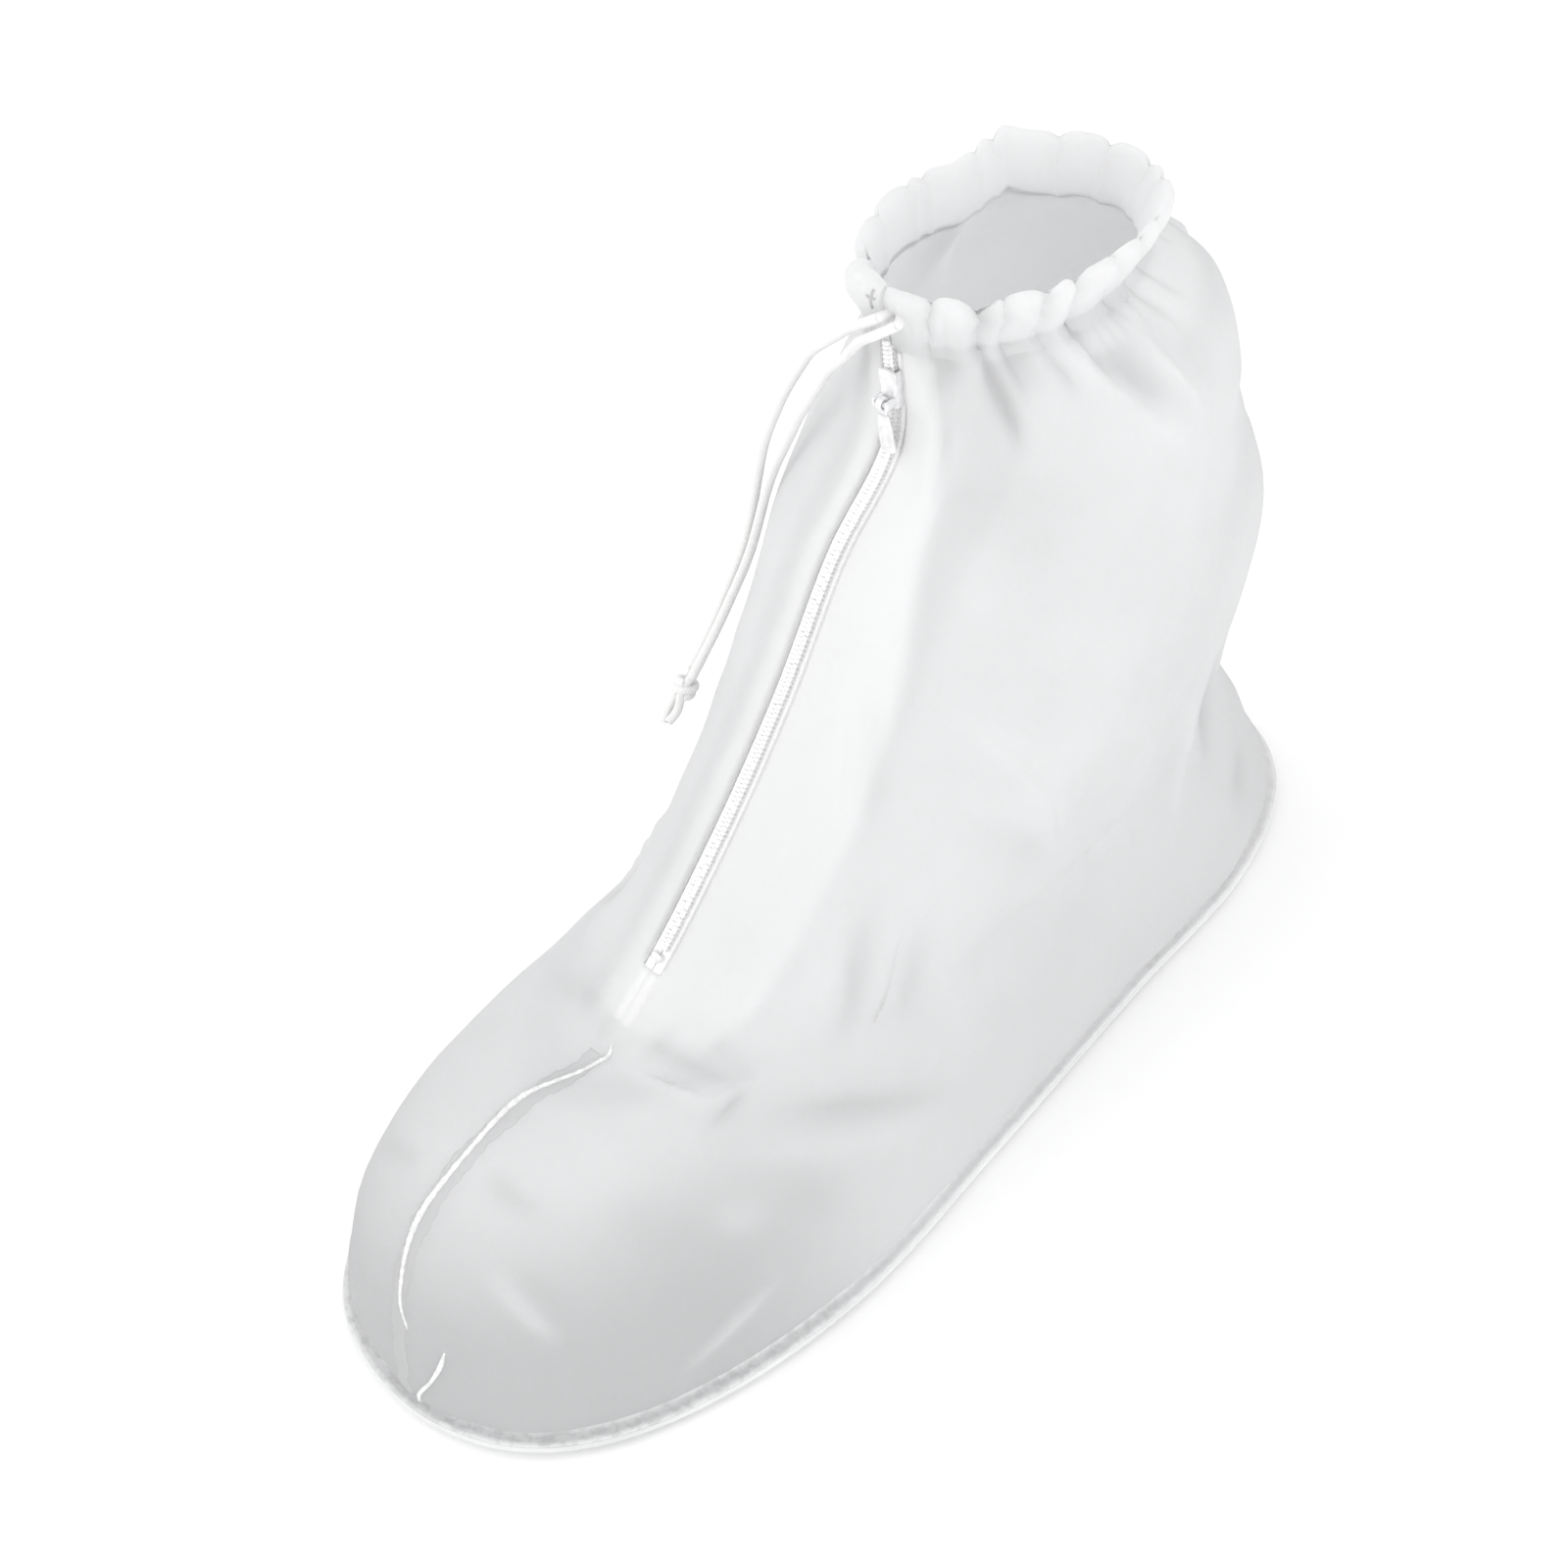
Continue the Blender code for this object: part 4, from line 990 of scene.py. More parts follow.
class COVER_OT_film(PieceOperator):
    """Film upper with its folds, slit for the zip"""

    bl_idname = "cover.film"
    bl_label = "Film upper"

    def make(self, sizes):
        levels, turns = film_grid()
        rows, columns = turns.shape
        turn, level = turns.ravel(), levels.ravel()
        base = film_base(turn, level)
        lift, painted_shading = film_lift(turn, level, base, sizes)
        points = base + lift[:, None] * film_normal(turn, level)
        quads = grid_quads(rows, columns, closed=True)
        row, column = quads[:, 0] // columns, quads[:, 0] % columns
        in_slit = (column < FRONT_CELLS) & (levels[row, 0] >= ZIP_FOOT)
        mesh, used = mesh_from_arrays("film_upper", points, quads[~in_slit])
        over_toe = SHADE_LEAST + (1 - SHADE_LEAST) * smoothstep(*SHADE_PLACES, points[:, 1])
        masks = {
            # flap's backing, and at the back of the collar the hem's backing with painted light
            "backing_and_light": backing_mask(turn, level),
            # painted highlight and shade of the folds
            "crease": np.clip(painted_shading / FULL_SHADING_HEIGHT, -1, 1),
            # painted light over the rim
            "rim": smoothstep(WELD + 0.30, WELD + 0.02, level),
            # painted shade low over the toe
            "low": smoothstep(*SHADE_HEIGHTS, points[:, 2]) * over_toe,
        }
        for name, values in masks.items():
            set_attribute(mesh, name, values[used])
        piece = add_piece("film_upper", mesh, "film", ["upper"])
        wall = piece.modifiers.new("wall", "SOLIDIFY")
        wall.thickness = WALL
        wall.offset = -1.0


# Section of the casing, from its outer lower edge over the rim to its inner lower edge: share of the height,
# distance out from the film's top edge in millimetres, and its shares of the swell and of the notch
Section = namedtuple("Section", "rise out swell notch")
CASING_SECTION = (
    Section(-0.26, -0.12, 0.00, 0.0),
    Section(0.00, 0.35, 0.25, 0.0),
    Section(0.28, 0.85, 0.70, 0.1),
    Section(0.55, 1.45, 1.00, 0.4),
    Section(0.80, 1.60, 1.00, 0.8),
    Section(0.95, 1.05, 0.80, 1.0),
    Section(1.00, 0.15, 0.50, 1.0),
    Section(0.95, -0.75, 0.35, 1.0),
    Section(0.78, -1.20, 0.25, 0.8),
    Section(0.45, -1.25, 0.20, 0.3),
    Section(0.14, -1.08, 0.10, 0.0),
    Section(-0.04, -0.84, 0.00, 0.0),
    Section(-0.14, -0.45, 0.00, 0.0),
)
CASING_STEPS = 1000
CASING_SIDES = 60
CASING_LEVELS = 0.55  # levels of the film as high as the casing
CASING_FLOP = 0.0018  # how far the back corner of the outer side leans out
FLOP_TURN = 0.80
FLOP_HALF = 0.13
# Small wrinkles of the casing: millimetres, waves in half a turn, twist over the section and phase
Wrinkle = namedtuple("Wrinkle", "amount waves twist phase")
CASING_WRINKLES = (
    Wrinkle(0.16, 29, 1.3, 0.4),
    Wrinkle(0.12, 47, -2.1, 1.9),
    Wrinkle(0.08, 71, 1.7, 4.1),
)
# Stitched tack on the casing's front end: rings and sides of the casing's mesh that its two threads follow
TACK_RINGS = slice(985, 998)
TACK_RING = 992
TACK_SIDE = 19
TACK_SIDES = slice(15, 24)
TACK_RADIUS = 0.0003


class COVER_OT_casing(PieceOperator):
    """Gathered casing for the drawcord"""

    bl_idname = "cover.casing"
    bl_label = "Drawstring casing"

    def make(self, sizes):
        points, painted_shading = casing_points(sizes)
        painted_shading = np.concatenate([painted_shading[:1], painted_shading, painted_shading[-1:]])
        mesh = joined_mesh("gathered_casing", [capped(points)], painted_shading)
        bars = (points[TACK_RINGS, TACK_SIDE], points[TACK_RING, TACK_SIDES])
        tack = joined_mesh("casing_tack", [capped(tube(bar, TACK_RADIUS, around(8))) for bar in bars])
        add_piece("casing_tack", tack, "thread")
        add_piece("gathered_casing", mesh, "film", ["drawstring_casing"])


def casing_ways(signed, turns):
    """Directions out of the casing's side and up along it. It leans outwards, and more at the back."""
    out = film_normal(signed, np.full_like(signed, TOP - 0.05))
    out[:, 2] = 0
    out /= np.linalg.norm(out, axis=1, keepdims=True)
    back = (1 - np.cos(np.pi * turns)) / 2
    lean = np.radians(LEAN_FRONT_DEG + (LEAN_BACK_DEG - LEAN_FRONT_DEG) * back)[:, None]
    up = np.array([0, 0, 1.0])
    return np.cos(lean) * out - np.sin(lean) * up, np.cos(lean) * up + np.sin(lean) * out


def casing_points(sizes):
    """Casing: its section carried round the film's top edge. The swell moves the section's sides apart, the
    notch lowers its top, and below the edge the section lies along the film. Returns painted shading as
    well: painted shade over the casing's upper part and in its notches, and a painted highlight on the
    larger puffs."""
    split = float(turn_at(CASING_SPLIT, TOP))
    turns = np.linspace(split, 2 - split, CASING_STEPS + 1)
    signed = np.where(turns <= 1, turns, turns - 2)
    base = film_point(signed, np.full_like(signed, TOP), sizes)
    side_way, rise_way = casing_ways(signed, turns)

    rise, outwards, swell_share, notch_share = closed_rows(CASING_SECTION, CASING_SIDES).T
    turns, place = turns[:, None], around(CASING_SIDES)
    swell, notch = gather_shape(turns + 0.006 * np.sin(9 * rise + 21 * turns))
    near = 0.15 + 0.85 * smoothstep(0.95, 0.65, turns) + 0.6 * smoothstep(1.70, 1.85, turns)
    wrinkle = sum(
        row.amount * np.sin(row.waves * np.pi * turns + row.twist * place + row.phase)
        for row in CASING_WRINKLES
    )
    sway = np.sign(outwards) * swell_share * (swell - 0.35 - 0.25 * notch) + near * wrinkle * swell_share
    flop = CASING_FLOP * np.exp(-(((turns - FLOP_TURN) / FLOP_HALF) ** 2)) * smoothstep(0, 0.8, rise)
    outwards = MM * (outwards + sway) + flop
    upwards = CASING_HEIGHT * rise - MM * notch_share * notch
    sideways = base[:, None] + outwards[..., None] * side_way[:, None]
    points = sideways + upwards[..., None] * rise_way[:, None]

    low = rise < 0
    level = np.broadcast_to(TOP + CASING_LEVELS * rise[low], (len(signed), low.sum()))
    turn = np.broadcast_to(signed[:, None], level.shape)
    points[:, low] = film_point(turn, level, sizes) + outwards[:, low, None] * film_normal(turn, level)
    # Painted shade over the upper section and in the notches, painted highlight on the larger puffs
    painted_shading = smoothstep(-0.15, 0.5, rise) * (0.30 * swell - 0.25) - 0.30 * notch_share * notch
    return points, np.clip(painted_shading, -1, 1)


# Bead of the toe weld, in two stretches with a break between them, from the zip's foot down to the rim: its
# place on the film and its radius as a share of BEAD_RADIUS
WeldRow = namedtuple("WeldRow", "turn level radius")
TOE_BEAD = (
    (
        WeldRow(0.010, 7.22, 0.30),
        WeldRow(0.019, 7.10, 0.60),
        WeldRow(0.010, 6.92, 0.55),
        WeldRow(-0.003, 6.40, 0.60),
        WeldRow(-0.011, 5.88, 0.80),
        WeldRow(-0.003, 5.20, 0.65),
        WeldRow(-0.006, 4.40, 0.85),
        WeldRow(-0.002, 3.85, 0.65),
        WeldRow(0.003, 3.30, 0.55),
        WeldRow(0.014, 2.95, 0.25),
    ),
    (
        WeldRow(0.058, 2.86, 0.30),
        WeldRow(0.052, 2.62, 0.70),
        WeldRow(0.040, 2.30, 0.55),
        WeldRow(0.022, 1.80, 0.55),
        WeldRow(0.016, 1.20, 0.30),
    ),
)
BEAD_RADIUS = 0.00085
BEAD_STEPS = 40  # rings for each row of the table
# Half width and rise of the lap under the bead and of the heel's weld, and how far both reach into the film
LAP_HALF = 0.0022
LAP_RISE = 0.00022
# Share of the film's painted shade low over the toe that the lap under the bead takes
LAP_SHADE_SHARE = 0.5
HEEL_HALF = 0.0010
HEEL_RISE = 0.0015
WELD_SINK = 0.0002


class COVER_OT_seams(PieceOperator):
    """Raised welds over the toe and up the back"""

    bl_idname = "cover.seams"
    bl_label = "Welded seams"

    def make(self, sizes):
        columns = np.linspace(-1, 1, 13)
        levels = np.linspace(WELD + 0.10, ZIP_FOOT - 0.94, 260)
        edge = 1 + 0.12 * np.sin(9 * levels) + 0.08 * np.sin(31 * levels)
        turns = weld_turns(columns * LAP_HALF * edge[:, None], levels, 0.0)
        high = 0.00005 + LAP_RISE * (1 - columns**4)
        lap = band_mesh("toe_weld", turns, levels, -WELD_SINK, high, sizes)
        # The lap takes part of the film's painted shade over the toe
        set_attribute(lap, "low", np.full(len(lap.vertices), LAP_SHADE_SHARE))
        add_piece("toe_weld", lap, "film", ["toe_seam"])
        beads = joined_mesh("toe_bead", [capped(bead_rings(rows, sizes)) for rows in TOE_BEAD])
        add_piece("toe_bead", beads, "bead")

        columns = np.linspace(-1, 1, 9)
        levels = np.linspace(WELD + 0.10, TOP - 0.02, 300)
        turns = 1 - weld_turns(columns * HEEL_HALF, levels, 1.0)
        ripple = 1 + 0.12 * np.sin(levels * 170)
        high = 0.0001 + HEEL_RISE * np.sqrt(1 - columns**2) * ripple[:, None]
        mesh = band_mesh("heel_weld", turns, levels, -WELD_SINK, high, sizes)
        add_piece("heel_weld", mesh, "film", ["heel_seam"])


def weld_turns(sides, levels, middle):
    """Turns at small distances to both sides of the front line, with middle 0, or of the back line, with
    middle 1: distance over the local slope."""
    step = 0.01
    slope = film_base(middle - step, levels) - film_base(step - middle, levels)
    return sides / (np.abs(slope[:, 0]) / (2 * step))[:, None]


def bead_rings(rows, sizes):
    """Bead of squeezed-out film: a tube through the table's rows with a slightly uneven thickness."""
    places = np.linspace(0, len(rows) - 1, BEAD_STEPS * len(rows))
    turn, level, radius = smooth_rows(rows, places).T
    step = np.arange(len(places))
    uneven = 1 + 0.10 * np.sin(step * 0.55) + 0.08 * np.sin(step * 1.31)
    radius = BEAD_RADIUS * radius * uneven
    return tube(film_point(turn, level, sizes, 0.3 * radius), radius, around(12))


# Side of the sole from its lower edge up, with a groove half way: distance in from the outline, and height
SoleStep = namedtuple("SoleStep", "inset height")
SOLE_PROFILE = (
    SoleStep(0.0012, LUG_HEIGHT),
    SoleStep(0.0004, LUG_HEIGHT + 0.0003),
    SoleStep(0.0, LUG_HEIGHT + 0.0007),
    SoleStep(0.0, LUG_HEIGHT + 0.0011),
    SoleStep(0.0002, LUG_HEIGHT + 0.0013),
    SoleStep(0.0005, LUG_HEIGHT + 0.0015),
    SoleStep(0.0002, LUG_HEIGHT + 0.0017),
    SoleStep(0.0, LUG_HEIGHT + 0.0019),
    SoleStep(0.0, PLATE_TOP - 0.0003),
    SoleStep(0.0002, PLATE_TOP - 0.00005),
    SoleStep(0.0006, PLATE_TOP),
)
SOLE_CELLS = 220  # along each side
SHARP_DEG = 50
BAR_WIDTH = 0.0075
BAR_PITCH = 0.0140
BAR_MARGIN = 0.0075
BAR_BEVEL = 0.0004
BAR_SINK = 0.0002  # how far a bar reaches into the sole
BAR_CUTS = 25
FOREFOOT = (-0.124, -0.026)
HEEL = (0.062, 0.132)


class COVER_OT_sole(PieceOperator):
    """Moulded sole with a stepped rim and tread bars"""

    bl_idname = "cover.sole"
    bl_label = "Sole"

    def make(self, sizes):
        sole = add_piece("moulded_sole", sole_mesh(), "sole", ["outsole"])
        bars = add_piece("tread_bars", tread_mesh(), "sole")
        for piece in (sole, bars):
            piece.data.set_sharp_from_angle(angle=math.radians(SHARP_DEG))


def sole_mesh():
    """Sole: its profile as rings of the outline, closed below and above by strips from side to side."""
    turns = np.linspace(0, 1, SOLE_CELLS + 1)
    ring_turns = np.concatenate([turns, -turns[-2:0:-1]])
    rings = np.array([sole_ring(step.inset, step.height, ring_turns) for step in SOLE_PROFILE])
    rows, count = rings.shape[:2]
    cell = np.arange(SOLE_CELLS)
    strip = np.stack([cell, cell + 1, -(cell + 1) % count, -cell % count], axis=-1)
    quads = [grid_quads(rows, count, closed=True), strip[:, ::-1], strip + (rows - 1) * count]
    mesh, _ = mesh_from_arrays("moulded_sole", rings, np.concatenate(quads))
    turn_outwards(mesh)
    return mesh


def tread_mesh():
    """Tread bars: each is a rounded bar across the sole that follows its outline at both ends."""
    inset = BAR_BEVEL / BAR_WIDTH
    top = LUG_HEIGHT + BAR_SINK
    place = np.array([-0.5, -0.5, -0.5 + inset, 0.5 - inset, 0.5, 0.5])
    height = np.array([top, BAR_BEVEL, 0.0, 0.0, BAR_BEVEL, top])
    across = np.linspace(0, 1, BAR_CUTS)[:, None]
    bars = []
    for low, high in (FOREFOOT, HEEL):
        for y in np.linspace(low, high, round((high - low) / BAR_PITCH) + 1):
            edge = y + place * BAR_WIDTH
            turns = np.arccos(np.clip(-edge / (SOLE_LENGTH / 2), -1, 1)) / np.pi
            outer = BALL_WIDTH / 2 * outline_share(turns) - BAR_MARGIN + toe_in(edge)
            inner = -BALL_WIDTH / 2 * outline_share(-turns) + BAR_MARGIN + toe_in(edge)
            x = inner + (outer - inner) * across
            bars.append(capped(np.stack(np.broadcast_arrays(x, edge, height + toe_spring(edge)), axis=-1)))
    return joined_mesh("tread_bars", bars)


# Zip: rows of its strips, and distances of the tape's columns from the zip's line
TAPE_ROWS = 120
TAPE_COLUMNS = (0.0001, 0.0006, 0.0012, 0.0018, 0.0023, 0.0027, 0.0032, 0.0045, 0.0060, 0.0080, TAPE_HALF)
TAPE_SHOW = 0.0008  # how far the tapes rise in the slit
UNDER_FILM = -(WALL + GAP)
FLAP_ROWS = 110
FLAP_COLUMNS = 36
# Loops of the coil: radius of the rod, reach across, rise to both sides of its middle, and bends and sides
COIL_RADIUS = 0.00054
COIL_REACH = 0.0012
COIL_RISE = 0.00045
COIL_MIDDLE = 0.0001
COIL_BENDS = 7
COIL_SIDES = 6
# Bottom stop: half length along the zip, half thickness of its bar and half width of its legs
STOP_HALF = 0.00085
STOP_BAR = 0.0004
STOP_LEG = 0.0003


class COVER_OT_zip(PieceOperator):
    """Zip tapes, coil, bottom stop and the flap behind them"""

    bl_idname = "cover.zip"
    bl_label = "Zip"

    def make(self, sizes):
        levels = np.linspace(TAPE_FROM, TAPE_TO, TAPE_ROWS)
        columns = np.array(TAPE_COLUMNS)
        top = UNDER_FILM + TAPE_SHOW * (1 - smoothstep(SLIT_HALF * 0.8, SLIT_HALF, columns))
        for node, sign in (("zip_tape_left", 1), ("zip_tape_right", -1)):
            turns = strip_turns(sign * columns[::sign], levels)
            high = top[::sign]
            mesh = band_mesh(node + "_woven", turns, levels, high - TAPE_THICK, high, sizes)
            add_piece(node + "_woven", mesh, "tape", [node])
        add_piece("zip_coil", coil_mesh(sizes), "coil", ["zip_chain"])
        add_piece("zip_flap", flap_mesh(sizes), "film", ["zip_gusset"])
        add_piece("zip_stop", stop_mesh(), "metal", ["zip_bottom_stop"])


def strip_turns(sides, levels):
    """Turns of a strip along the zip, a column for each distance from its line."""
    return np.stack([turn_at(side, levels) for side in sides], axis=1)


def flap_mesh(sizes):
    """Flap behind the zip: a strip under the tapes from the inner to the outer side, following the film."""
    levels = np.linspace(FLAP_FROM, FLAP_TO, FLAP_ROWS)
    turns = strip_turns(np.linspace(GUSSET_INNER, GUSSET_OUTER, FLAP_COLUMNS), levels)
    top = UNDER_FILM - TAPE_THICK - 2 * GAP
    return band_mesh("zip_flap", turns, levels, top - GUSSET_THICK, top, sizes)


def stop_mesh():
    """Bottom stop: a folded clip, made of a bar across the coil and two legs down its sides."""
    bar = eased_bar(STOP_HALF, 0.9, CHAIN_HALF, 0.0009, STOP_RISE - STOP_BAR, STOP_BAR)
    leg = eased_bar(STOP_HALF, 0.8, STOP_LEG, 0.0002, 0.0002, 0.0010)
    shapes = [bar] + [leg + np.array([sign * (CHAIN_HALF - STOP_LEG), 0, 0]) for sign in (-1, 1)]
    matrix = zip_matrix(ZIP_STOP)
    return joined_mesh("zip_stop", [placed(shape, matrix) for shape in shapes])


def coil_mesh(sizes):
    """Coil of the zip: on each side, a row of loops; a loop is a bent rod that rises from the tape, crosses
    to the middle and goes back under."""
    line = zip_line(np.linspace(ZIP_STOP + 0.08, TAPE_TO, 1200))
    length = running_length(line[0])
    count = int(length[-1] / sizes.coil_pitch)
    bend = np.linspace(-0.5 * np.pi, 0.5 * np.pi, COIL_BENDS)
    loop_side = (CHAIN_HALF - COIL_REACH * np.cos(bend) ** 0.8)[:, None]
    loop_rise = (COIL_MIDDLE + COIL_RISE * np.sin(bend))[:, None]
    angle = around(COIL_SIDES)[:, None]
    loops = []
    for sign, phase in ((1, 0.0), (-1, 0.5)):
        at = (np.arange(count) + phase) * sizes.coil_pitch
        number = np.interp(at, length, np.arange(len(length)))
        pick = np.clip(number.round().astype(int), 0, len(length) - 1)
        point, tangent, normal, across = (array[pick][:, None] for array in line)
        centre = point + sign * loop_side * across + loop_rise * normal
        inward = np.gradient(centre, axis=1)
        inward /= np.linalg.norm(inward, axis=2, keepdims=True)
        beside = np.cross(inward, tangent)
        along = COIL_RADIUS * np.cos(angle) * tangent[:, None]
        loops.append(centre[:, :, None] + along + COIL_RADIUS * np.sin(angle) * beside[:, :, None])
    loops = np.concatenate(loops)
    starts = np.arange(len(loops)) * COIL_BENDS * COIL_SIDES
    quads = grid_quads(COIL_BENDS, COIL_SIDES, closed=True)[None] + starts[:, None, None]
    mesh, _ = mesh_from_arrays("zip_coil", loops, quads.reshape(-1, 4))
    return mesh


# Slider's plate from its lower end up: shares of its half length and of its half width
SliderRow = namedtuple("SliderRow", "along width")
SLIDER_OUTLINE = (
    SliderRow(-1.0, 0.45),
    SliderRow(-0.96, 0.70),
    SliderRow(-0.82, 0.84),
    SliderRow(-0.2, 0.82),
    SliderRow(0.25, 0.90),
    SliderRow(0.6, 1.0),
    SliderRow(0.88, 1.0),
    SliderRow(0.97, 0.82),
    SliderRow(1.0, 0.5),
)
FLANGE_HALF = 0.0002
FLANGE_SHARE = 0.93  # of the plate's length
FLANGE_SIDE = CHAIN_HALF + GAP + 0.0003
POST_SIDE = EYE_HALF + GAP + POST_HALF
# Pull: rows and columns of its plate, radius of its corners, and the long ring that is raised on both faces,
# by its middle and half length as shares of the plate, its radius and its half width
PULL_ROWS = 57
PULL_COLUMNS = 33
PULL_CORNER = 0.0009
RING_MIDDLE = 0.58
RING_HALF = 0.20
RING_RADIUS = 0.00075
RING_WIDTH = 0.00017


class COVER_OT_slider(PieceOperator):
    """Zip slider and its pull"""

    bl_idname = "cover.slider"
    bl_label = "Slider and pull"

    def make(self, sizes):
        add_piece("slider_body", slider_mesh(), "metal", ["zip_slider"])
        add_piece("pull_plate", pull_mesh(), "metal", ["zip_pull_tab"], PULL)


def pin_place():
    """The pull's pin in the slider's frame."""
    height = CHAIN_RISE + GAP + SLIDER_PLATE + EYE_RADIUS + GAP
    return np.array([0, PIN_FROM_END - SLIDER_LENGTH / 2, height])


def slider_mesh():
    """Slider: a plate that is wider at the shoulders, a flange down each side, and a pin between two
    posts."""
    base = CHAIN_RISE + GAP
    half = SLIDER_LENGTH / 2
    rows = [(half * row.along, SLIDER_HALF * row.width) for row in SLIDER_OUTLINE]
    shapes = [bar_rings(rows, base + SLIDER_PLATE / 2, SLIDER_PLATE / 2, 28, 4.0)]
    pin = pin_place()
    foot, top = base + SLIDER_PLATE / 2, pin[2] + POST_OVER_PIN
    long, ease = FLANGE_SHARE * half, 0.88 / FLANGE_SHARE
    flange = eased_bar(long, ease, FLANGE_HALF, FLANGE_HALF / 2, base / 2, base / 2 + 0.0006)
    post = eased_bar(POST_LENGTH_HALF, 0.7, POST_HALF, 0.0003, (foot + top) / 2, (top - foot) / 2)
    for sign in (-1, 1):
        shapes.append(flange + np.array([sign * FLANGE_SIDE, 0, 0]))
        shapes.append(post + np.array([sign * POST_SIDE, pin[1], 0]))
    shapes.append(rod_rings(PIN_RADIUS, POST_SIDE) + pin)
    matrix = zip_matrix(SLIDER_AT)
    return joined_mesh("slider_body", [placed(shape, matrix) for shape in shapes])


def pull_matrix():
    """Frame of the pull at rest: on the pin, leaning in until the plate nearly touches the coil."""
    matrix = zip_matrix(SLIDER_AT)
    matrix[:3, 3] = placed(pin_place(), matrix)
    levels = np.linspace(SLIDER_AT - 0.1, SLIDER_AT - 1.2, 60)
    points, _, normal, _ = zip_line(levels)
    line = placed(points + (CHAIN_RISE + PULL_CLEAR + PULL_THICK / 2) * normal, np.linalg.inv(matrix))
    reached = line[(-line[:, 1] > EYE_RADIUS) & (-line[:, 1] < PULL_NECK + PULL_LENGTH)]
    lean = np.arctan2(-reached[:, 2], -reached[:, 1]).min()
    turned = np.eye(4)
    turned[1:3, 1:3] = [[np.cos(lean), -np.sin(lean)], [np.sin(lean), np.cos(lean)]]
    return matrix @ turned


def pull_plate_rings():
    """Plate of the pull: a grid with round corners and a thickness that is raised along its edge and along a
    long ring, seen from both faces."""
    along = np.linspace(0, 1, PULL_ROWS)[:, None]
    side = np.linspace(-1, 1, PULL_COLUMNS)[None]
    end = np.minimum(along, 1 - along) * PULL_LENGTH
    round_end = np.sqrt(np.clip(1 - np.clip(1 - end / PULL_CORNER, 0, 1) ** 2, 0, 1))
    width = PULL_HALF * (0.74 + 0.26 * smoothstep(0, 0.5, along)) * (0.55 + 0.45 * round_end)
    x = width * side
    y = -PULL_NECK - PULL_LENGTH * along
    from_edge = np.minimum(width - np.abs(x), end)
    from_middle = np.hypot(x, np.maximum(np.abs(along - RING_MIDDLE) - RING_HALF, 0) * PULL_LENGTH)
    ring = np.exp(-(((from_middle - RING_RADIUS) / RING_WIDTH) ** 2)) * smoothstep(0, 0.0005, from_edge)
    raised = 1 - 0.55 * smoothstep(0.0003, 0.00055, from_edge) + 0.40 * ring
    half = PULL_THICK / 2 * raised * (0.45 + 0.55 * smoothstep(0, 0.0002, from_edge))
    top, bottom = (np.stack(np.broadcast_arrays(x, y, sign * half), axis=-1) for sign in (1, -1))
    return capped(np.concatenate([top, bottom[:, ::-1]], axis=1))


def pull_mesh():
    """Pull: an eye round the pin, a neck and a plate."""
    angle = np.linspace(0, 2 * np.pi, 33)[:, None]
    section = around(16)[None]
    hole = PIN_RADIUS + GAP
    radius = (EYE_RADIUS + hole) / 2 + (EYE_RADIUS - hole) / 2 * np.cos(section)
    across = 0.85 * EYE_HALF * np.sign(np.sin(section)) * np.abs(np.sin(section)) ** 0.6
    eye = np.stack(np.broadcast_arrays(across, radius * np.cos(angle), radius * np.sin(angle)), axis=-1)
    neck_rows = [(-PULL_NECK - 0.0005, 0.0013), (-0.0019, 0.0010), (-EYE_RADIUS + 0.0002, EYE_HALF)]
    shapes = (eye, bar_rings(neck_rows, 0.0, 0.0004), pull_plate_rings())
    matrix = pull_matrix()
    return joined_mesh("pull_plate", [placed(shape, matrix) for shape in shapes])


# Route of the two cord tails over the film, as in the solids
TailRow = namedtuple("TailRow", "outer_turn outer_lift inner_turn inner_lift level rise")
TAIL_ROUTE = (
    TailRow(0.016, 0.0050, 0.062, 0.0056, 12.98, 0.0086),
    TailRow(-0.034, 0.0052, 0.012, 0.0056, 12.92, 0.0060),
    TailRow(-0.100, 0.0054, -0.056, 0.0048, 12.80, 0.0026),
    TailRow(-0.160, 0.0070, -0.116, 0.0046, 12.55, 0.0002),
    TailRow(-0.190, 0.0090, -0.150, 0.0062, 12.25, 0.0000),
    TailRow(-0.205, 0.0095, -0.165, 0.0066, 11.95, 0.0000),
    TailRow(-0.220, 0.0090, -0.185, 0.0056, 11.60, 0.0000),
    TailRow(-0.236, 0.0073, -0.212, 0.0034, 11.20, 0.0000),
    TailRow(-0.258, 0.0052, -0.240, 0.0026, 10.70, 0.0000),
    TailRow(-0.265, 0.0043, -0.248, 0.0024, 10.20, 0.0000),
    TailRow(-0.263, 0.0054, -0.248, 0.0040, 9.70, 0.0000),
    TailRow(-0.260, 0.0066, -0.245, 0.0055, 9.38, 0.0000),
    TailRow(-0.258, 0.0074, -0.243, 0.0064, 9.19, 0.0000),
)
CORD_STEPS = 160
CORD_SIDES = 14
# Hidden start of a tail: where it goes into the casing, how deep, and how far it runs on before it bends
ROOT_TURN = 0.03
ROOT_RISE = 0.0065
ROOT_SINK = 0.0010
ROOT_REACH = 0.0010
ROOT_STEPS = 24
# Knot: turns of the wrap, its start, radius, length and wave, and how far the two tips swing and differ
KNOT_TURNS = 1.9
KNOT_START = 0.5
WRAP_RADIUS = 0.0020
WRAP_LENGTH = 0.0034
KNOT_WAVE = 0.0006
TIP_START = 0.0004
TIP_STEP = 0.0012


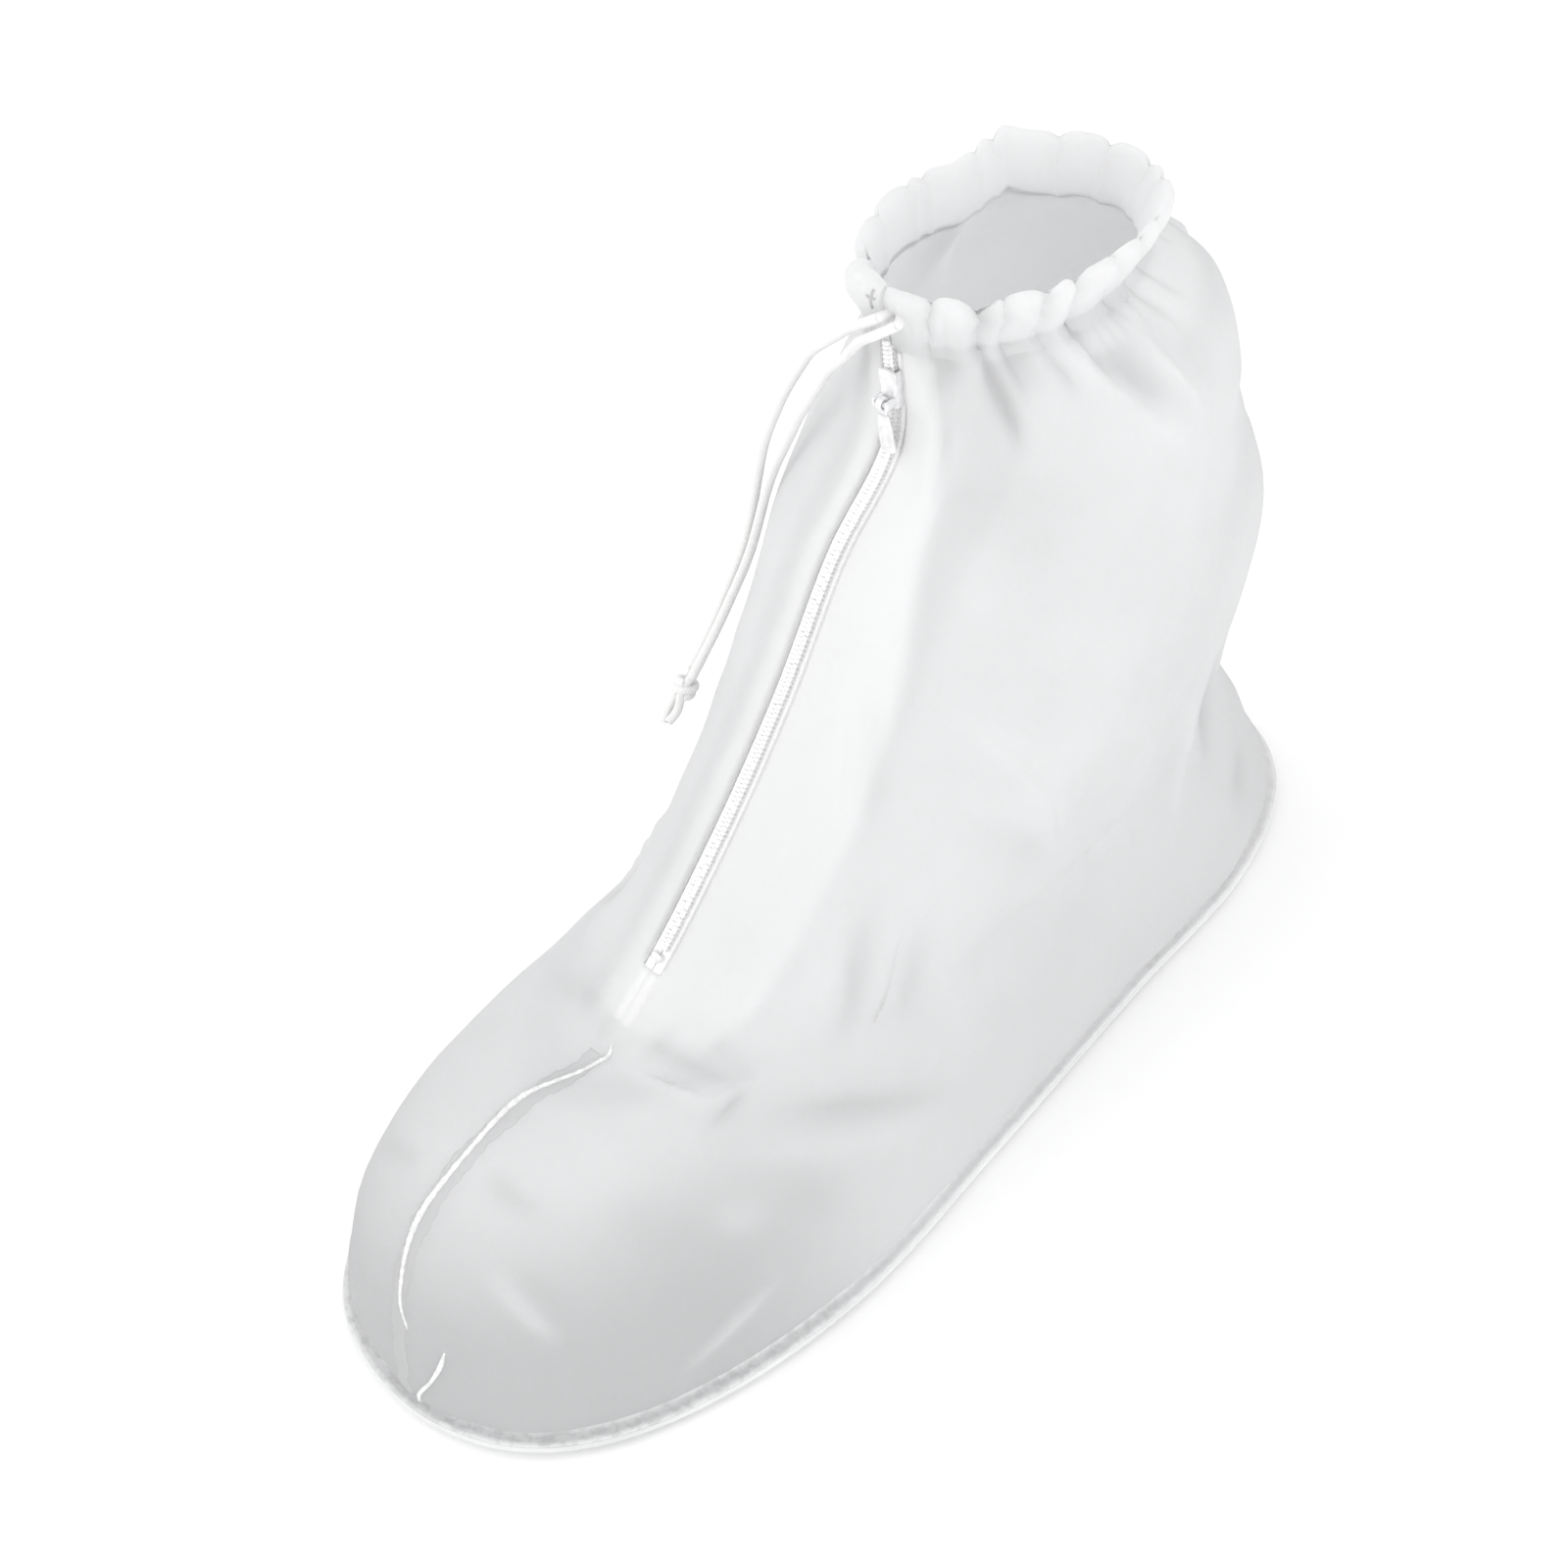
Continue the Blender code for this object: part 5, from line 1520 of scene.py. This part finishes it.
class COVER_OT_drawcord(PieceOperator):
    """Free tails of the drawcord and their knot"""

    bl_idname = "cover.drawcord"
    bl_label = "Drawcord"

    def make(self, sizes):
        paths = [tail_path(tail) for tail in range(2)]
        names = ("drawcord_tail_outer", "drawcord_tail_inner")
        roots = joined_mesh("cord_roots", [root_rings(path, sizes) for path in paths])
        add_piece("cord_roots", roots, "cord")
        knot = add_piece("cord_knot", knot_mesh(paths, sizes), "cord", ["drawcord_knot"])
        for name, path in zip(names, paths):
            mesh = cord_mesh(name + "_braid", path, sizes.cord_diameter / 2)
            piece = add_piece(name + "_braid", mesh, "cord", [name])
            [knot] if name == names[0] else []


def tail_path(tail):
    """Route of a cord tail, 0 for the outer one: the listed rows on a smooth curve, lifted off the smooth
    film."""
    route = smooth_rows(TAIL_ROUTE, np.linspace(0, len(TAIL_ROUTE) - 1, CORD_STEPS))
    turn, lift, level, rise = route[:, 2 * tail], route[:, 2 * tail + 1], route[:, 4], route[:, 5]
    path = film_base(turn, level) + lift[:, None] * film_normal(turn, level)
    path[:, 2] += rise
    return path


def root_rings(path, sizes):
    """Hidden start of a cord tail: a short bend from where the tail leaves into the casing's split."""
    back = path[0] - path[4]
    back /= np.linalg.norm(back)
    inside = film_base(ROOT_TURN, TOP) - ROOT_SINK * film_normal(np.array([ROOT_TURN]), np.array([TOP]))[0]
    inside[2] += ROOT_RISE
    t = np.linspace(0, 1, ROOT_STEPS)[:, None]
    bend = path[0] + ROOT_REACH * back
    line = (1 - t) ** 2 * path[0] + 2 * t * (1 - t) * bend + t**2 * inside
    return capped(tube(line, sizes.cord_diameter / 2, around(CORD_SIDES)))


def cord_mesh(name, path, radius):
    """Tube along a path with flat ends; U runs round it and V along it, in cord diameters."""
    angle = np.linspace(0, 2 * np.pi, CORD_SIDES + 1)
    ends = [np.broadcast_to(end, (1, CORD_SIDES + 1, 3)) for end in (path[0], path[-1])]
    rings = np.concatenate([ends[0], tube(path, radius, angle), ends[1]])
    along = running_length(path)
    along = np.concatenate([[0], along, along[-1:]]) / (2 * radius)
    uv = np.stack(np.broadcast_arrays((angle / (2 * np.pi))[None], along[:, None]), axis=-1)
    mesh, _ = mesh_from_arrays(name, rings, grid_quads(*rings.shape[:2]), uv)
    turn_outwards(mesh)
    return mesh


def knot_mesh(paths, sizes):
    """Knot: the doubled cord goes straight through two turns of itself and ends in two short tips."""
    radius = sizes.cord_diameter / 2
    ends = [path[-1] for path in paths]
    down = sum(path[-1] - path[-3] for path in paths)
    down /= np.linalg.norm(down)
    beside = ends[1] - ends[0]
    beside -= (beside @ down) * down
    beside /= np.linalg.norm(beside)
    third = np.cross(down, beside)
    middle = (ends[0] + ends[1]) / 2 + (KNOT_RADIUS + 2 * GAP) * down
    t = np.linspace(0, 1, 90)[:, None]
    turn = 2 * np.pi * KNOT_TURNS * t + KNOT_START
    circle = np.cos(turn) * beside * 1.05 + np.sin(turn) * third
    wrap = middle + WRAP_RADIUS * circle + (t - 0.5) * WRAP_LENGTH * down
    wrap += KNOT_WAVE * np.sin(turn) * down
    meshes = [cord_mesh("knot_wrap", wrap, radius * 0.95)]
    way = np.linspace(0, 1, 40)[:, None]
    for number, sign in enumerate((-1, 1)):
        start = ends[number] - TIP_START * down
        reach = KNOT_RADIUS + KNOT_TAIL - TIP_STEP * (number + 0.4)
        finish = middle + reach * down + sign * radius * 1.15 * beside
        line = start + (finish - start) * way + KNOT_WAVE * np.sin(np.pi * 2 * way) * third * sign
        meshes.append(cord_mesh("knot_end", line, radius * 0.92))
    joined = bmesh.new()
    for mesh in meshes:
        joined.from_mesh(mesh)
        bpy.data.meshes.remove(mesh)
    made = bpy.data.meshes.new("cord_knot")
    joined.to_mesh(made)
    joined.free()
    made.shade_smooth()
    return made


# Camera in degrees, metres and pixels of a 1600 pixel wide picture
PICTURE = 1600.0
CAMERA_AZIMUTH = 42.2
CAMERA_ELEVATION = 50.7
CAMERA_ROLL = 0.3
CAMERA_DISTANCE = 0.8003
CAMERA_AIM = Vector((MIDDLE_SHIFT, 0.0, 0.1))
FOCAL_PIXELS = 3527.6
MIDDLE_PIXEL = (874.6, 811.9)
SENSOR = 36.0
# Floor's half width in metres, the sky's strength, and lamps with their power in watts and size in metres
FLOOR_HALF = 4.0
SKY_STRENGTH = 0.97
Lamp = namedtuple("Lamp", "name place power size")
LAMPS = (
    Lamp("key", (1.3, -0.2, 0.7), 6.2, 1.2),
    Lamp("fill", (-0.7, -0.8, 1.2), 8.0, 1.4),
)


class COVER_OT_stage(PieceOperator):
    """Camera, floor and soft light"""

    bl_idname = "cover.stage"
    bl_label = "Stage"

    def make(self, sizes):
        scene = bpy.context.scene
        scene.view_settings.view_transform = "Standard"
        self.add_camera(scene)
        self.add_floor(scene)
        self.add_lights(scene)

    def add_camera(self, scene):
        azimuth, elevation, roll = map(math.radians, (CAMERA_AZIMUTH, CAMERA_ELEVATION, CAMERA_ROLL))
        level = math.cos(elevation)
        back = Vector((math.sin(azimuth) * level, -math.cos(azimuth) * level, math.sin(elevation)))
        right = (-back).cross(Vector((0, 0, 1))).normalized()
        up = right.cross(-back)
        rolled_right = math.cos(roll) * right - math.sin(roll) * up
        rolled_up = math.sin(roll) * right + math.cos(roll) * up
        data = bpy.data.cameras.new("camera")
        data.sensor_width = SENSOR
        data.lens = FOCAL_PIXELS / PICTURE * SENSOR
        data.shift_x = -(MIDDLE_PIXEL[0] - PICTURE / 2) / PICTURE
        data.shift_y = (MIDDLE_PIXEL[1] - PICTURE / 2) / PICTURE
        data.clip_start = 0.01
        camera = bpy.data.objects.new("camera", data)
        camera.matrix_world = Matrix((rolled_right, rolled_up, back)).transposed().to_4x4()
        camera.location = CAMERA_AIM + CAMERA_DISTANCE * back
        scene.collection.objects.link(camera)
        scene.camera = camera

    def add_floor(self, scene):
        mesh = bpy.data.meshes.new("floor")
        corners = [(x * FLOOR_HALF, y * FLOOR_HALF, 0) for x, y in ((-1, -1), (1, -1), (1, 1), (-1, 1))]
        mesh.from_pydata(corners, [], [(0, 1, 2, 3)])
        mesh.materials.append(floor_finish())
        floor = bpy.data.objects.new("floor", mesh)
        scene.collection.objects.link(floor)

    def add_lights(self, scene):
        world = bpy.data.worlds.new("soft_sky")
        world.use_nodes = True
        sky = world.node_tree.nodes["Background"]
        sky.inputs["Color"].default_value = (1.0, 1.0, 1.0, 1.0)
        sky.inputs["Strength"].default_value = SKY_STRENGTH
        scene.world = world
        for lamp in LAMPS:
            data = bpy.data.lights.new(lamp.name, "AREA")
            data.energy = lamp.power
            data.size = lamp.size
            light = bpy.data.objects.new(lamp.name, data)
            light.location = lamp.place
            light.rotation_euler = (CAMERA_AIM - Vector(lamp.place)).to_track_quat("-Z", "Y").to_euler()
            scene.collection.objects.link(light)


class COVER_PT_panel(bpy.types.Panel):
    """Lists the cover's pieces in the sidebar"""

    bl_label = "Shoe cover"
    bl_idname = "COVER_PT_panel"
    bl_space_type = "VIEW_3D"
    bl_region_type = "UI"
    bl_category = "Shoe cover"

    def draw(self, context):
        for group in (context.scene.cover_sizes, context.scene.cover_colours):
            for name in group.__annotations__:
                self.layout.prop(group, name)
        for operator in OPERATORS:
            self.layout.operator(operator.bl_idname)


GROUPS = (CoverSizes, CoverColours)
OPERATORS = (
    COVER_OT_stage,
    COVER_OT_drawcord,
    COVER_OT_film,
    COVER_OT_casing,
    COVER_OT_seams,
    COVER_OT_sole,
    COVER_OT_zip,
    COVER_OT_slider,
)


def register():
    for group in (*GROUPS, *OPERATORS, COVER_PT_panel):
        bpy.utils.register_class(group)
    bpy.types.Scene.cover_sizes = bpy.props.PointerProperty(type=CoverSizes)
    bpy.types.Scene.cover_colours = bpy.props.PointerProperty(type=CoverColours)


def unregister():
    del bpy.types.Scene.cover_colours
    del bpy.types.Scene.cover_sizes
    for group in reversed((*GROUPS, *OPERATORS, COVER_PT_panel)):
        bpy.utils.unregister_class(group)


def main():
    register()
    bpy.ops.cover.stage()
    bpy.ops.cover.drawcord()
    bpy.ops.cover.film()
    bpy.ops.cover.casing()
    bpy.ops.cover.seams()
    bpy.ops.cover.sole()
    bpy.ops.cover.zip()
    bpy.ops.cover.slider()


if __name__ == "__main__":
    main()
